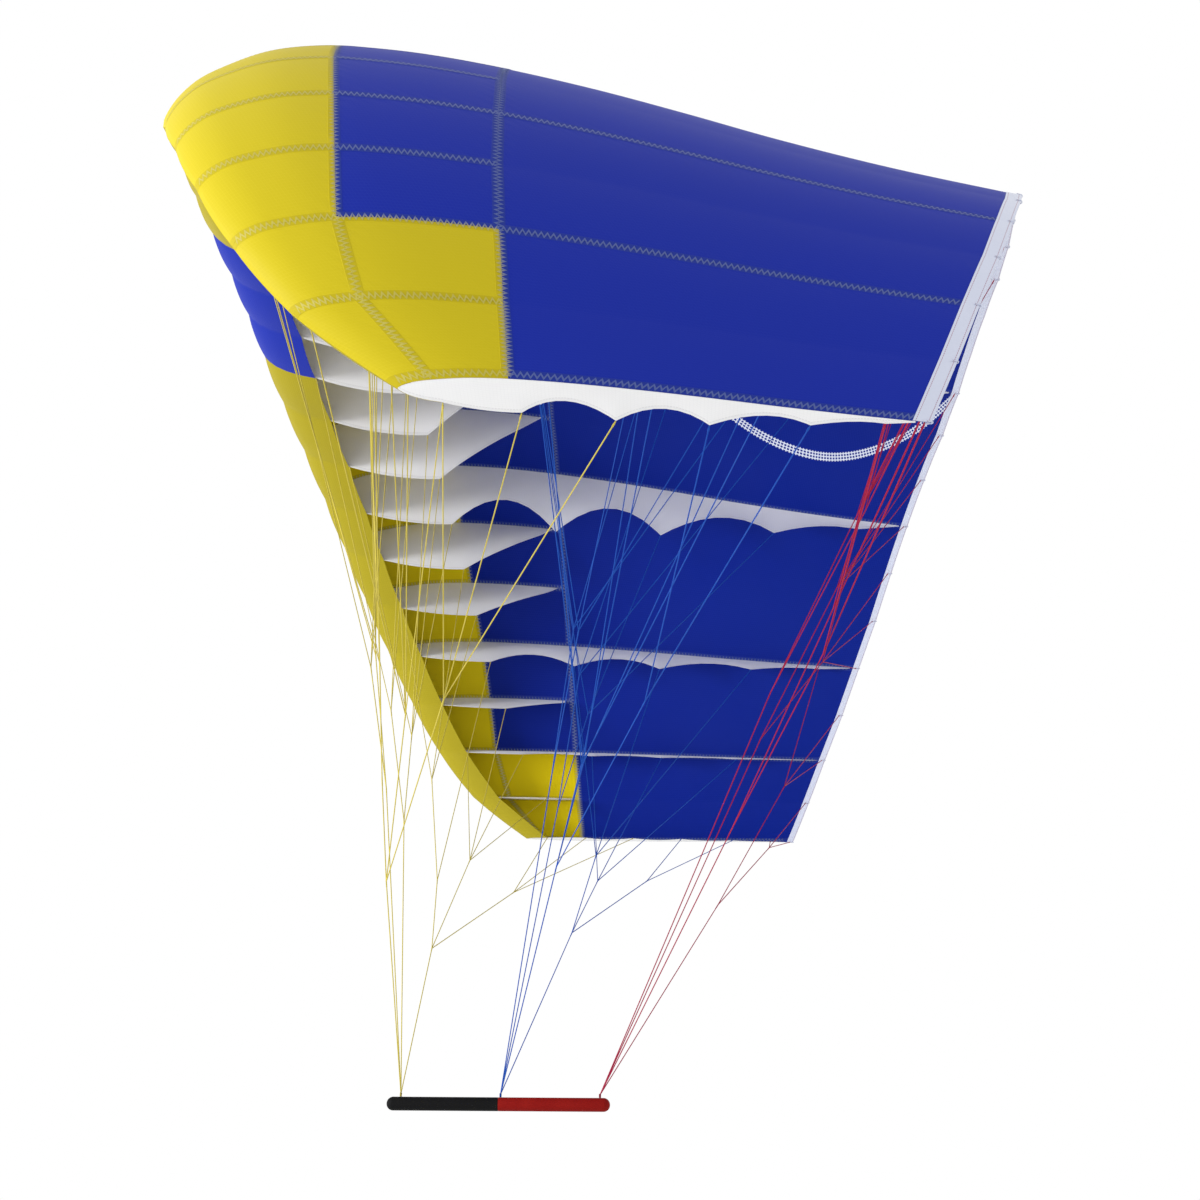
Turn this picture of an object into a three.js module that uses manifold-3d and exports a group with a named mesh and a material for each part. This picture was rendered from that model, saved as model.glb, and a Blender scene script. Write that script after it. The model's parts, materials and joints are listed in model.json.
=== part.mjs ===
import * as THREE from 'three';
import { mergeVertices } from 'three/addons/utils/BufferGeometryUtils.js';
import Module from 'manifold-3d';

// A single-skin wing in flight, held by its lines on a short hand bar.
// Millimetres. X runs from the leading edge aft, Y from the left tip to the right, Z is up,
// and the origin is the middle of the bar.

const wasm = await Module();
wasm.setup();

// Driving dimensions
const clothThickness = 1.2;
const ribThickness = 1.2;
const seamGap = 0.3;
const tailHeight = 1644;
const cellBulge = 0.03;
const stripsAcrossCell = 2;
const tapeThickness = 0.8;
const tapeOutside = 34;
const tapeInside = 16;
const ribTailInset = 20;
const ribTailHeight = 3;
const barLength = 420;
const barRadius = 12.5;
const lineRadius = 0.8;
const lineSides = 8;
const knotRadius = 3;
const barKnotRadius = 5;

// One row for each rib from the middle out. width is the cell inboard of the rib (half the
// middle cell for the first) and lean the rib's tilt outwards in degrees. nose and tail are X.
// rise is how far the nose sits off the tail along the rib, and lift how far it sits above it
// besides. front and mid are the spanwise seams as a share of the chord, and crown is the
// height of the arched section over the line from nose to tail, as a share of the chord.
const stations = [
  {
    name: '01', full: false, width: 82, lean: 1.5, nose: -641, tail: 1013,
    rise: 143, lift: -20, front: 0.221, mid: 0.404, crown: 0.112,
  },
  {
    name: '02', full: true, width: 165, lean: 6.5, nose: -640, tail: 1011,
    rise: 143, lift: -18, front: 0.219, mid: 0.403, crown: 0.112,
  },
  {
    name: '03', full: false, width: 165, lean: 12.5, nose: -629, tail: 998,
    rise: 141, lift: -15, front: 0.217, mid: 0.403, crown: 0.112,
  },
  {
    name: '04', full: false, width: 163, lean: 19.3, nose: -605, tail: 974,
    rise: 137, lift: -11, front: 0.215, mid: 0.402, crown: 0.112,
  },
  {
    name: '05', full: true, width: 159, lean: 26.5, nose: -575, tail: 948,
    rise: 132, lift: -5, front: 0.212, mid: 0.402, crown: 0.111,
  },
  {
    name: '06', full: false, width: 152, lean: 34, nose: -541, tail: 920,
    rise: 127, lift: 4, front: 0.208, mid: 0.4, crown: 0.106,
  },
  {
    name: '07', full: false, width: 146, lean: 43, nose: -498, tail: 889,
    rise: 120, lift: 13, front: 0.203, mid: 0.395, crown: 0.096,
  },
  {
    name: '08', full: true, width: 137, lean: 52.5, nose: -444, tail: 850,
    rise: 112, lift: 19, front: 0.196, mid: 0.388, crown: 0.084,
  },
  {
    name: '09', full: false, width: 131, lean: 61.5, nose: -381, tail: 808,
    rise: 103, lift: 22, front: 0.179, mid: 0.376, crown: 0.074,
  },
  {
    name: '10', full: true, width: 123, lean: 70, nose: -305, tail: 761,
    rise: 92, lift: 21, front: 0.146, mid: 0.358, crown: 0.067,
  },
  {
    name: '11', full: false, width: 115, lean: 77, nose: -205, tail: 716,
    rise: 80, lift: 18, front: 0.105, mid: 0.318, crown: 0.06,
  },
  {
    name: '12', full: true, width: 106, lean: 82.5, nose: -54, tail: 671,
    rise: 62, lift: 16, front: 0.067, mid: 0.21, crown: 0.053,
  },
];

// The section runs from the free edge of the strip under the nose, round the nose, to the tail.
// s is the share of the chord aft of the nose. Under the nose, drop is the share of the chord
// below the line from nose to tail, and over it, arch is the share of the crown above it.
const underNose = [
  { s: 0.078, drop: 0.036 },
  { s: 0.05, drop: 0.031 },
  { s: 0.022, drop: 0.021 },
  { s: 0.006, drop: 0.009 },
];
const overNose = [
  { s: 0, arch: 0 },
  { s: 0.011, arch: 0.22 },
  { s: 0.04, arch: 0.5 },
  { s: 0.08, arch: 0.71 },
  { s: 0.13, arch: 0.89 },
  { s: 0.195, arch: 0.99 },
  { s: 0.25, arch: 1 },
  { s: 0.31, arch: 0.98 },
  { s: 0.39, arch: 0.91 },
  { s: 0.5, arch: 0.765 },
  { s: 0.61, arch: 0.58 },
  { s: 0.72, arch: 0.38 },
  { s: 0.85, arch: 0.18 },
  { s: 1, arch: 0 },
];
const noseShare = underNose.length / (underNose.length + overNose.length - 1);

// Line tabs along a rib's lower edge: s is the share of the chord aft of the nose and drop the
// share below the line from nose to tail.
const tabs = {
  A: { s: 0.228, drop: 0.053 },
  B: { s: 0.406, drop: 0.06 },
  C: { s: 0.584, drop: 0.055 },
  D: { s: 0.775, drop: 0.034 },
  E: { s: 0.916, drop: 0.013 },
};

// The hollows between the tabs: top is how far the hollow reaches from the tabs to the skin.
const hollows = [
  { s: 0.315, top: 0.47 },
  { s: 0.497, top: 0.48 },
  { s: 0.685, top: 0.48 },
  { s: 0.85, top: 0.3 },
];
const frontEdgeSag = 0.008;

// A half rib rises from its tab to a point on the skin near the middle seam.
const halfRibCurve = [
  { s: 0.265, top: 0.27 },
  { s: 0.315, top: 0.58 },
  { s: 0.365, top: 0.86 },
];
const halfRibPoint = 0.97;

// Steps along the section in each row of panels
const steps = { under: 3, front: 4, middle: 3, rear: 5 };

// Bays between full ribs, as places in the list of stations, and the cloth of their middle panel
const bays = [
  { name: '1', from: 1, to: 4, middle: 'blueCloth' },
  { name: '2', from: 4, to: 7, middle: 'blueCloth' },
  { name: '3', from: 7, to: 9, middle: 'blueCloth' },
  { name: '4', from: 9, to: 11, middle: 'yellowCloth' },
];

const finishes = {
  yellowCloth: { color: 0xe3cd20, roughness: 0.6, metalness: 0 },
  blueCloth: { color: 0x20309a, roughness: 0.6, metalness: 0 },
  ribCloth: { color: 0xdcdcde, roughness: 0.7, metalness: 0 },
  tipCloth: { color: 0xededed, roughness: 0.7, metalness: 0 },
  tape: { color: 0xc5cbe0, roughness: 0.65, metalness: 0 },
  blackGrip: { color: 0x141414, roughness: 0.7, metalness: 0 },
  redGrip: { color: 0x8e150d, roughness: 0.7, metalness: 0 },
  yellowLine: { color: 0xd8c430, roughness: 0.6, metalness: 0 },
  blueLine: { color: 0x2456c0, roughness: 0.6, metalness: 0 },
  redLine: { color: 0xb8203c, roughness: 0.6, metalness: 0 },
};

const wing = new THREE.Group();

function addMesh(name, geometry, finish) {
  const mesh = new THREE.Mesh(geometry, new THREE.MeshStandardMaterial(finishes[finish]));
  mesh.name = name;
  wing.add(mesh);
}

function along(from, to, share) {
  return from.clone().lerp(to, share);
}

// How far the leading edge runs aft for each millimetre of span outboard of a station
function sweepAt(place) {
  const outer = Math.min(place + 1, stations.length - 1);
  return (stations[outer].nose - stations[outer - 1].nose) / stations[outer].width;
}

// Places the stations of one side by laying the cells end to end along the arch.
function placeStations(side) {
  let y = 0;
  let height = tailHeight;
  let lastLean = -stations[0].lean;
  return stations.map((row, place) => {
    const angle = THREE.MathUtils.degToRad(place === 0 ? 0 : (lastLean + row.lean) / 2);
    y += row.width * Math.cos(angle);
    height -= row.width * Math.sin(angle);
    lastLean = row.lean;
    const lean = THREE.MathUtils.degToRad(row.lean);
    const up = new THREE.Vector3(0, side * Math.sin(lean), Math.cos(lean));
    const tail = new THREE.Vector3(row.tail, side * y, height);
    const nose = new THREE.Vector3(row.nose, side * y, height + row.lift).addScaledVector(up, row.rise);
    const run = tail.clone().sub(nose);
    const across = up.clone().cross(run).normalize();
    const chord = row.tail - row.nose;
    return { ...row, side, nose, tail, up, run, across, chord, sweep: sweepAt(place) };
  });
}

function place(station, s, h) {
  const point = station.nose.clone().addScaledVector(station.run, s);
  return point.addScaledVector(station.up, h * station.chord);
}

function sectionCurve(station) {
  const under = underNose.map(({ s, drop }) => new THREE.Vector3(s, -drop, 0));
  const over = overNose.map(({ s, arch }) => new THREE.Vector3(s, arch * station.crown, 0));
  return new THREE.CatmullRomCurve3([...under, ...over], false, 'centripetal');
}

// Finds how far along the section curve its upper side reaches the share s of the chord.
function reach(curve, s) {
  let low = noseShare;
  let high = 1;
  for (let round = 0; round < 40; round += 1) {
    const middle = (low + high) / 2;
    if (curve.getPoint(middle).x < s) {
      low = middle;
    } else {
      high = middle;
    }
  }
  return (low + high) / 2;
}

function skinHeight(curve, s) {
  return curve.getPoint(reach(curve, s)).y;
}

// Gives each station its row of points along the skin, with the outward normal at each.
function sampleSkin(station) {
  const curve = sectionCurve(station);
  const marks = [0, noseShare, reach(curve, station.front), reach(curve, station.mid), 1];
  const counts = [steps.under, steps.front, steps.middle, steps.rear];
  const shares = [0];
  counts.forEach((count, row) => {
    for (let step = 1; step <= count; step += 1) {
      shares.push(marks[row] + (marks[row + 1] - marks[row]) * step / count);
    }
  });
  const points = shares.map((share) => {
    const { x, y } = curve.getPoint(share);
    return place(station, x, y);
  });
  const normals = points.map((point, index) => {
    const before = points[Math.max(index - 1, 0)];
    const after = points[Math.min(index + 1, points.length - 1)];
    return after.clone().sub(before).cross(station.across).normalize();
  });
  return { ...station, curve, points, normals };
}

const rowEnds = {
  under: [0, steps.under],
  front: [steps.under, steps.under + steps.front],
  middle: [steps.under + steps.front, steps.under + steps.front + steps.middle],
  rear: [steps.under + steps.front + steps.middle, steps.under + steps.front + steps.middle + steps.rear],
};

const left = placeStations(-1).map(sampleSkin);
const right = placeStations(1).map(sampleSkin);

// A column of the skin between two stations, bulged outwards as air fills the cell.
function skinColumn(first, second, share) {
  const width = first.points[0].distanceTo(second.points[0]);
  const bulge = width * cellBulge * 4 * share * (1 - share);
  const normals = first.normals.map((normal, index) =>
    along(normal, second.normals[index], share).normalize());
  const points = first.points.map((point, index) => {
    const middle = along(point, second.points[index], share);
    return middle.addScaledVector(normals[index], bulge);
  });
  return { points, normals };
}

// All columns across a row of cells
function cellColumns(order) {
  const columns = [];
  for (let cell = 0; cell + 1 < order.length; cell += 1) {
    for (let strip = 0; strip < stripsAcrossCell; strip += 1) {
      columns.push(skinColumn(order[cell], order[cell + 1], strip / stripsAcrossCell));
    }
  }
  const last = order[order.length - 1];
  columns.push({ points: last.points.map((point) => point.clone()), normals: last.normals });
  return columns;
}

// The columns of a bay, with its two outer edges drawn in by half a seam gap
function bayColumns(bayStations) {
  const columns = cellColumns(bayStations);
  drawIn(columns[0], columns[1]);
  drawIn(columns[columns.length - 1], columns[columns.length - 2]);
  return columns;
}

function drawIn(edge, inner) {
  edge.points.forEach((point, index) => {
    const step = inner.points[index].clone().sub(point).normalize();
    point.addScaledVector(step, seamGap / 2);
  });
}

// The part of a column between two places along the section, drawn in at seams with a neighbour.
function columnPart(column, from, to, trimStart, trimEnd) {
  const points = column.points.slice(from, to + 1).map((point) => point.clone());
  const normals = column.normals.slice(from, to + 1);
  const last = points.length - 1;
  if (trimStart) {
    points[0].addScaledVector(points[1].clone().sub(points[0]).normalize(), seamGap / 2);
  }
  if (trimEnd) {
    points[last].addScaledVector(points[last - 1].clone().sub(points[last]).normalize(), seamGap / 2);
  }
  return { points, normals };
}

// Closes rows of section loops into a solid. Each loop lists the same number of points.
function loftLoops(loops) {
  const size = loops[0].length;
  const positions = loops.flat().flatMap((point) => [point.x, point.y, point.z]);
  const triangles = [];
  for (let row = 0; row + 1 < loops.length; row += 1) {
    for (let index = 0; index < size; index += 1) {
      const next = (index + 1) % size;
      const a = row * size + index;
      const b = row * size + next;
      const c = (row + 1) * size + next;
      const d = (row + 1) * size + index;
      triangles.push(a, b, c, a, c, d);
    }
  }
  const lastRow = (loops.length - 1) * size;
  for (let index = 0; index < size / 2 - 1; index += 1) {
    const opposite = size - 1 - index;
    triangles.push(index, opposite, opposite - 1, index, opposite - 1, index + 1);
    triangles.push(lastRow + index, lastRow + opposite - 1, lastRow + opposite);
    triangles.push(lastRow + index, lastRow + index + 1, lastRow + opposite - 1);
  }
  const geometry = new THREE.BufferGeometry();
  geometry.setAttribute('position', new THREE.Float32BufferAttribute(positions, 3));
  geometry.setIndex(triangles);
  return facingOut(geometry);
}

// Turns every face round if the closed surface holds a negative volume.
function facingOut(geometry) {
  const position = geometry.getAttribute('position');
  const index = geometry.getIndex();
  let volume = 0;
  for (let corner = 0; corner < index.count; corner += 3) {
    const [a, b, c] = [0, 1, 2].map((step) =>
      new THREE.Vector3().fromBufferAttribute(position, index.getX(corner + step)));
    volume += a.dot(b.cross(c));
  }
  if (volume < 0) {
    for (let corner = 0; corner < index.count; corner += 3) {
      const second = index.getX(corner + 1);
      index.setX(corner + 1, index.getX(corner + 2));
      index.setX(corner + 2, second);
    }
  }
  return geometry;
}

// A sheet of cloth from its columns, thickened evenly about its middle surface
function sheetFromColumns(columns) {
  const half = clothThickness / 2;
  const loops = columns.map(({ points, normals }) => {
    const outer = points.map((point, index) => point.clone().addScaledVector(normals[index], half));
    const inner = points.map((point, index) => point.clone().addScaledVector(normals[index], -half));
    return [...outer, ...inner.reverse()];
  });
  return loftLoops(loops);
}

function addPanel(name, columns, from, to, finish) {
  const rowCount = rowEnds.rear[1];
  const parts = columns.map((column) => columnPart(column, from, to, from > 0, to < rowCount));
  addMesh(name, sheetFromColumns(parts), finish);
}

function addSideBay(stationsOfSide, sideName, bay) {
  const columns = bayColumns(stationsOfSide.slice(bay.from, bay.to + 1));
  const place = `${sideName}_${bay.name}`;
  addPanel(`front_panel_${place}`, columns, ...rowEnds.front, 'yellowCloth');
  addPanel(`middle_panel_${place}`, columns, ...rowEnds.middle, bay.middle);
  addPanel(`rear_panel_${place}`, columns, ...rowEnds.rear, 'blueCloth');
}

function addCentreBay() {
  const columns = bayColumns([left[1], left[0], right[0], right[1]]);
  addPanel('nose_strip_centre', columns, ...rowEnds.under, 'blueCloth');
  addPanel('front_panel_centre', columns, ...rowEnds.front, 'yellowCloth');
  addPanel('middle_panel_centre', columns, ...rowEnds.middle, 'blueCloth');
  addPanel('rear_panel_centre', columns, ...rowEnds.rear, 'blueCloth');
}

function addNoseStrip(stationsOfSide, sideName) {
  const columns = bayColumns(stationsOfSide.slice(1));
  addPanel(`nose_strip_${sideName}`, columns, ...rowEnds.under, 'yellowCloth');
}

// Where a tab's point lies, in the frame of the whole wing
function tabPoint(station, { s, drop }) {
  return place(station, s, -drop);
}

// A point of a rib's lower edge between two tabs, raised by the share top towards the skin
function raisedPoint(station, { s, top }, before, after) {
  const share = (s - before.s) / (after.s - before.s);
  const low = -THREE.MathUtils.lerp(before.drop, after.drop, share);
  return place(station, s, THREE.MathUtils.lerp(low, skinHeight(station.curve, s), top));
}

// A smooth hollow between two tabs through its highest point
function hollowCurve(station, from, hollow, to) {
  const start = tabPoint(station, from);
  const end = tabPoint(station, to);
  const pull = raisedPoint(station, hollow, from, to).multiplyScalar(2).sub(along(start, end, 0.5));
  return new THREE.QuadraticBezierCurve3(start, pull, end).getPoints(6).slice(1);
}

// A rib's outline keeps clear of the skin, more so at the nose, where the skin runs aft across
// the rib's thickness.
function ribOutline(station) {
  const inset = station.points.map((point, index) => {
    const normal = station.normals[index];
    const clearance = clothThickness / 2 + seamGap + ribThickness / 2 * station.sweep * Math.abs(normal.x);
    return point.clone().addScaledVector(normal, -clearance);
  });
  const sag = along(inset[0], tabPoint(station, tabs.A), 0.5)
    .addScaledVector(station.up, -frontEdgeSag * station.chord);
  if (station.full) {
    const last = inset.length - 1;
    const upper = inset.slice(0, last);
    upper.push(along(inset[last - 1], inset[last], tailReach(station)));
    const lower = Object.values(tabs);
    const edge = [sag, lower[0]].map((item) => (item.s ? tabPoint(station, item) : item));
    hollows.forEach((hollow, index) => {
      edge.push(...hollowCurve(station, lower[index], hollow, lower[index + 1]));
    });
    const tailEnd = upper[upper.length - 1].clone().addScaledVector(station.up, -ribTailHeight);
    return [...upper, tailEnd, ...edge.reverse()];
  }
  const stop = rowEnds.middle[1];
  const upper = inset.slice(0, stop);
  const point = along(inset[stop - 1], inset[stop], halfRibPoint);
  const level = { s: station.mid, drop: tabs.A.drop };
  const curve = halfRibCurve.map((row) => raisedPoint(station, row, tabs.A, level));
  const knots = [tabPoint(station, tabs.A), ...curve, point];
  const edge = new THREE.CatmullRomCurve3(knots, false, 'centripetal').getPoints(9).slice(0, -1);
  return [...upper, point, ...edge.reverse(), sag];
}

// Where a full rib stops short of the tail, as a share of the way from the last skin point
function tailReach(station) {
  const before = station.points[station.points.length - 2];
  return 1 - ribTailInset / before.distanceTo(station.tail);
}

function addRib(station, sideName) {
  const alongAxis = station.run.clone().normalize();
  const upAxis = station.across.clone().cross(alongAxis);
  const frame = new THREE.Matrix4().makeBasis(alongAxis, upAxis, station.across);
  frame.setPosition(station.nose.clone().addScaledVector(station.across, -ribThickness / 2));
  const outline = ribOutline(station).map((point) => {
    const offset = point.sub(station.nose);
    return new THREE.Vector2(offset.dot(alongAxis), offset.dot(upAxis));
  });
  const shape = new THREE.Shape(outline);
  const geometry = new THREE.ExtrudeGeometry(shape, { depth: ribThickness, bevelEnabled: false });
  geometry.applyMatrix4(frame);
  const finish = station.name === '12' ? 'tipCloth' : 'ribCloth';
  addMesh(`rib_${sideName}_${station.name}`, geometry, finish);
}

// The folded tape over the trailing edge: a long flap outside and a short one inside.
function tapeLoop(column) {
  const last = column.points.length - 1;
  const tail = column.points[last];
  const forward = column.points[last - 1].clone().sub(tail).normalize();
  const out = column.normals[last].clone();
  out.addScaledVector(forward, -out.dot(forward)).normalize();
  const near = clothThickness / 2 + seamGap;
  const far = near + tapeThickness;
  const corners = [
    [tapeOutside, far], [-seamGap - tapeThickness, far],
    [-seamGap - tapeThickness, -far], [tapeInside, -far],
    [tapeInside, -near], [-seamGap, -near], [-seamGap, near], [tapeOutside, near],
  ];
  return corners.map(([reachForward, offset]) =>
    tail.clone().addScaledVector(forward, reachForward).addScaledVector(out, offset));
}

function addTrailingTape() {
  const loops = cellColumns([...left].reverse().concat(right)).map(tapeLoop);
  addMesh('trailing_edge_tape', loftTape(loops), 'tape');
}

// The tape's section is a hook, so its two ends are closed flap by flap.
function loftTape(loops) {
  const size = loops[0].length;
  const positions = loops.flat().flatMap((point) => [point.x, point.y, point.z]);
  const triangles = [];
  for (let row = 0; row + 1 < loops.length; row += 1) {
    for (let index = 0; index < size; index += 1) {
      const next = (index + 1) % size;
      const a = row * size + index;
      const b = row * size + next;
      const c = (row + 1) * size + next;
      const d = (row + 1) * size + index;
      triangles.push(a, b, c, a, c, d);
    }
  }
  const flaps = [[0, 1, 6, 7], [1, 2, 5, 6], [2, 3, 4, 5]];
  const lastRow = (loops.length - 1) * size;
  flaps.forEach(([a, b, c, d]) => {
    triangles.push(a, c, b, a, d, c);
    triangles.push(lastRow + a, lastRow + b, lastRow + c, lastRow + a, lastRow + c, lastRow + d);
  });
  const geometry = new THREE.BufferGeometry();
  geometry.setAttribute('position', new THREE.Float32BufferAttribute(positions, 3));
  geometry.setIndex(triangles);
  return facingOut(geometry);
}

// Half of the hand bar, a round grip with a domed end.
function addGrip(name, direction, finish) {
  const profile = [new THREE.Vector2(0, seamGap / 2), new THREE.Vector2(barRadius, seamGap / 2)];
  const domeSteps = 4;
  const straight = barLength / 2 - barRadius;
  for (let step = 0; step <= domeSteps; step += 1) {
    const angle = Math.PI / 2 * step / domeSteps;
    const radius = step === domeSteps ? 0 : barRadius * Math.cos(angle);
    profile.push(new THREE.Vector2(radius, straight + barRadius * Math.sin(angle)));
  }
  const geometry = new THREE.LatheGeometry(profile, 20);
  geometry.rotateZ(-direction * Math.PI / 2);
  addMesh(name, geometry, finish);
}

function toSolid(geometry) {
  const bare = geometry.clone();
  bare.deleteAttribute('normal');
  bare.deleteAttribute('uv');
  const merged = mergeVertices(bare, 1e-4);
  const mesh = new wasm.Mesh({
    numProp: 3,
    vertProperties: new Float32Array(merged.getAttribute('position').array),
    triVerts: new Uint32Array(merged.getIndex().array),
  });
  return new wasm.Manifold(mesh);
}

function toGeometry(solid) {
  const mesh = solid.getMesh();
  const geometry = new THREE.BufferGeometry();
  geometry.setAttribute('position', new THREE.Float32BufferAttribute(mesh.vertProperties, 3));
  geometry.setIndex(new THREE.Uint32BufferAttribute(mesh.triVerts, 1));
  return geometry;
}

const lineSection = new THREE.Shape(Array.from({ length: lineSides }, (_, side) => {
  const angle = 2 * Math.PI * side / lineSides;
  return new THREE.Vector2(lineRadius * Math.cos(angle), lineRadius * Math.sin(angle));
}));

function lineTube(from, to) {
  const extrudePath = new THREE.LineCurve3(from, to);
  return toSolid(new THREE.ExtrudeGeometry(lineSection, { extrudePath, steps: 1, bevelEnabled: false }));
}

function knot(centre, radius) {
  const ball = new THREE.OctahedronGeometry(radius, 0);
  ball.translate(centre.x, centre.y, centre.z);
  return toSolid(ball);
}

// Line forks, as places on the right side in the frame of the whole wing. Each fork hangs on
// the one named by from. Its ties are a rib's number and its tab, where N is the free edge of
// the nose strip and T the trailing edge.
const lineSets = [
  {
    name: 'front_lines', finish: 'yellowLine', barX: -184,
    forks: {
      outer: { at: [-181, 336, 349], from: 'bar', ties: [] },
      outerHigh: { at: [-186, 415, 513], from: 'outer', ties: [[8, 'A']] },
      outerTop: { at: [-206, 396, 738], from: 'outerHigh', ties: [[6, 'A'], [7, 'N'], [7, 'A']] },
      outerMiddle: {
        at: [-130, 552, 589], from: 'outer', ties: [[9, 'A'], [10, 'N'], [10, 'A'], [11, 'A']],
      },
      outerTip: { at: [-42, 740, 554], from: 'outer', ties: [[12, 'N'], [12, 'A'], [12, 'B']] },
      inner: { at: [-224, 126, 575], from: 'bar', ties: [] },
      innerHigh: { at: [-237, 262, 800], from: 'inner', ties: [[3, 'A'], [4, 'N'], [4, 'A'], [5, 'A']] },
      innerTop: { at: [-266, 140, 818], from: 'inner', ties: [[1, 'A'], [2, 'N'], [2, 'A']] },
    },
  },
  {
    name: 'middle_lines', finish: 'blueLine', barX: 4,
    forks: {
      outer: { at: [119, 318, 380], from: 'bar', ties: [] },
      outerHigh: { at: [168, 473, 525], from: 'outer', ties: [[10, 'B'], [10, 'C'], [10, 'D']] },
      outerTip: { at: [278, 682, 570], from: 'outer', ties: [[12, 'C'], [12, 'D']] },
      outerTop: { at: [167, 368, 558], from: 'outer', ties: [[8, 'B'], [8, 'C'], [8, 'D']] },
      inner: { at: [95, 120, 600], from: 'bar', ties: [] },
      innerHigh: { at: [150, 262, 850], from: 'inner', ties: [[5, 'B'], [5, 'C'], [5, 'D']] },
      innerTop: { at: [135, 142, 900], from: 'inner', ties: [[2, 'B'], [2, 'C'], [2, 'D']] },
    },
  },
  {
    name: 'rear_lines', finish: 'redLine', barX: 191,
    forks: {
      outer: { at: [431, 336, 444], from: 'bar', ties: [] },
      outerTip: { at: [569, 682, 651], from: 'outer', ties: [[12, 'E'], [12, 'T'], [11, 'T']] },
      outerHigh: { at: [601, 575, 772], from: 'outer', ties: [[10, 'E'], [10, 'T'], [9, 'T'], [8, 'E']] },
      inner: { at: [520, 150, 760], from: 'bar', ties: [] },
      innerHigh: { at: [686, 420, 1027], from: 'inner', ties: [[8, 'T'], [7, 'T'], [6, 'T'], [5, 'E']] },
      innerTop: {
        at: [700, 190, 1120], from: 'inner', ties: [[5, 'T'], [4, 'T'], [3, 'T'], [2, 'E'], [2, 'T']],
      },
    },
  },
];

// The point a line is tied to and the way out of the cloth there
function tiePoint(station, tab) {
  const down = station.up.clone().negate();
  if (tab === 'N') {
    const aft = station.run.clone().normalize();
    return { point: station.points[0].clone().addScaledVector(aft, 2 * lineRadius), out: down };
  }
  if (tab === 'T') {
    const last = station.points.length - 1;
    const forward = station.points[last - 1].clone().sub(station.points[last]).normalize();
    const out = station.normals[last].clone().negate();
    const point = station.points[last].clone().addScaledVector(forward, tapeInside / 2)
      .addScaledVector(out, clothThickness / 2 + seamGap + tapeThickness);
    return { point, out };
  }
  return { point: tabPoint(station, tabs[tab]), out: down };
}

// Where a line's flat end stops so that its rim just clears the cloth it is tied to
function lineEnd(tie, from) {
  const back = from.clone().sub(tie.point).normalize();
  const slope = back.angleTo(tie.out);
  const distance = (seamGap + lineRadius * Math.sin(slope)) / Math.cos(slope);
  return tie.point.clone().addScaledVector(back, distance);
}

function lineSolids(lineSet, sideStations, side, barKnot) {
  const solids = [];
  const places = { bar: barKnot };
  Object.entries(lineSet.forks).forEach(([name, fork]) => {
    const [x, y, z] = fork.at;
    places[name] = new THREE.Vector3(x, side * y, z);
    solids.push(knot(places[name], knotRadius), lineTube(places[fork.from], places[name]));
    fork.ties.forEach(([rib, tab]) => {
      const end = lineEnd(tiePoint(sideStations[rib - 1], tab), places[name]);
      solids.push(lineTube(places[name], end));
    });
  });
  return solids;
}

function addLineSet(lineSet) {
  const barKnot = new THREE.Vector3(lineSet.barX, 0, barRadius + seamGap + barKnotRadius);
  const solids = [
    knot(barKnot, barKnotRadius),
    ...lineSolids(lineSet, left, -1, barKnot),
    ...lineSolids(lineSet, right, 1, barKnot),
  ];
  const joined = solids.reduce((whole, piece) => whole.add(piece));
  addMesh(lineSet.name, toGeometry(joined), lineSet.finish);
}

addCentreBay();
[['left', left], ['right', right]].forEach(([sideName, sideStations]) => {
  addNoseStrip(sideStations, sideName);
  bays.forEach((bay) => addSideBay(sideStations, sideName, bay));
  sideStations.forEach((station) => addRib(station, sideName));
});
addTrailingTape();
addGrip('front_grip', -1, 'blackGrip');
addGrip('rear_grip', 1, 'redGrip');
lineSets.forEach(addLineSet);

export default wing;
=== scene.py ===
"""A parawing in flight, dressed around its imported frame.

Metres. X runs aft from the leading edge, Y from the left tip to the right and Z is up, and the
origin is the middle of the hand bar.
"""

import json
import logging
import math
from dataclasses import dataclass, field
from enum import Enum
from functools import reduce
from typing import Any, Iterable, Sequence

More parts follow.
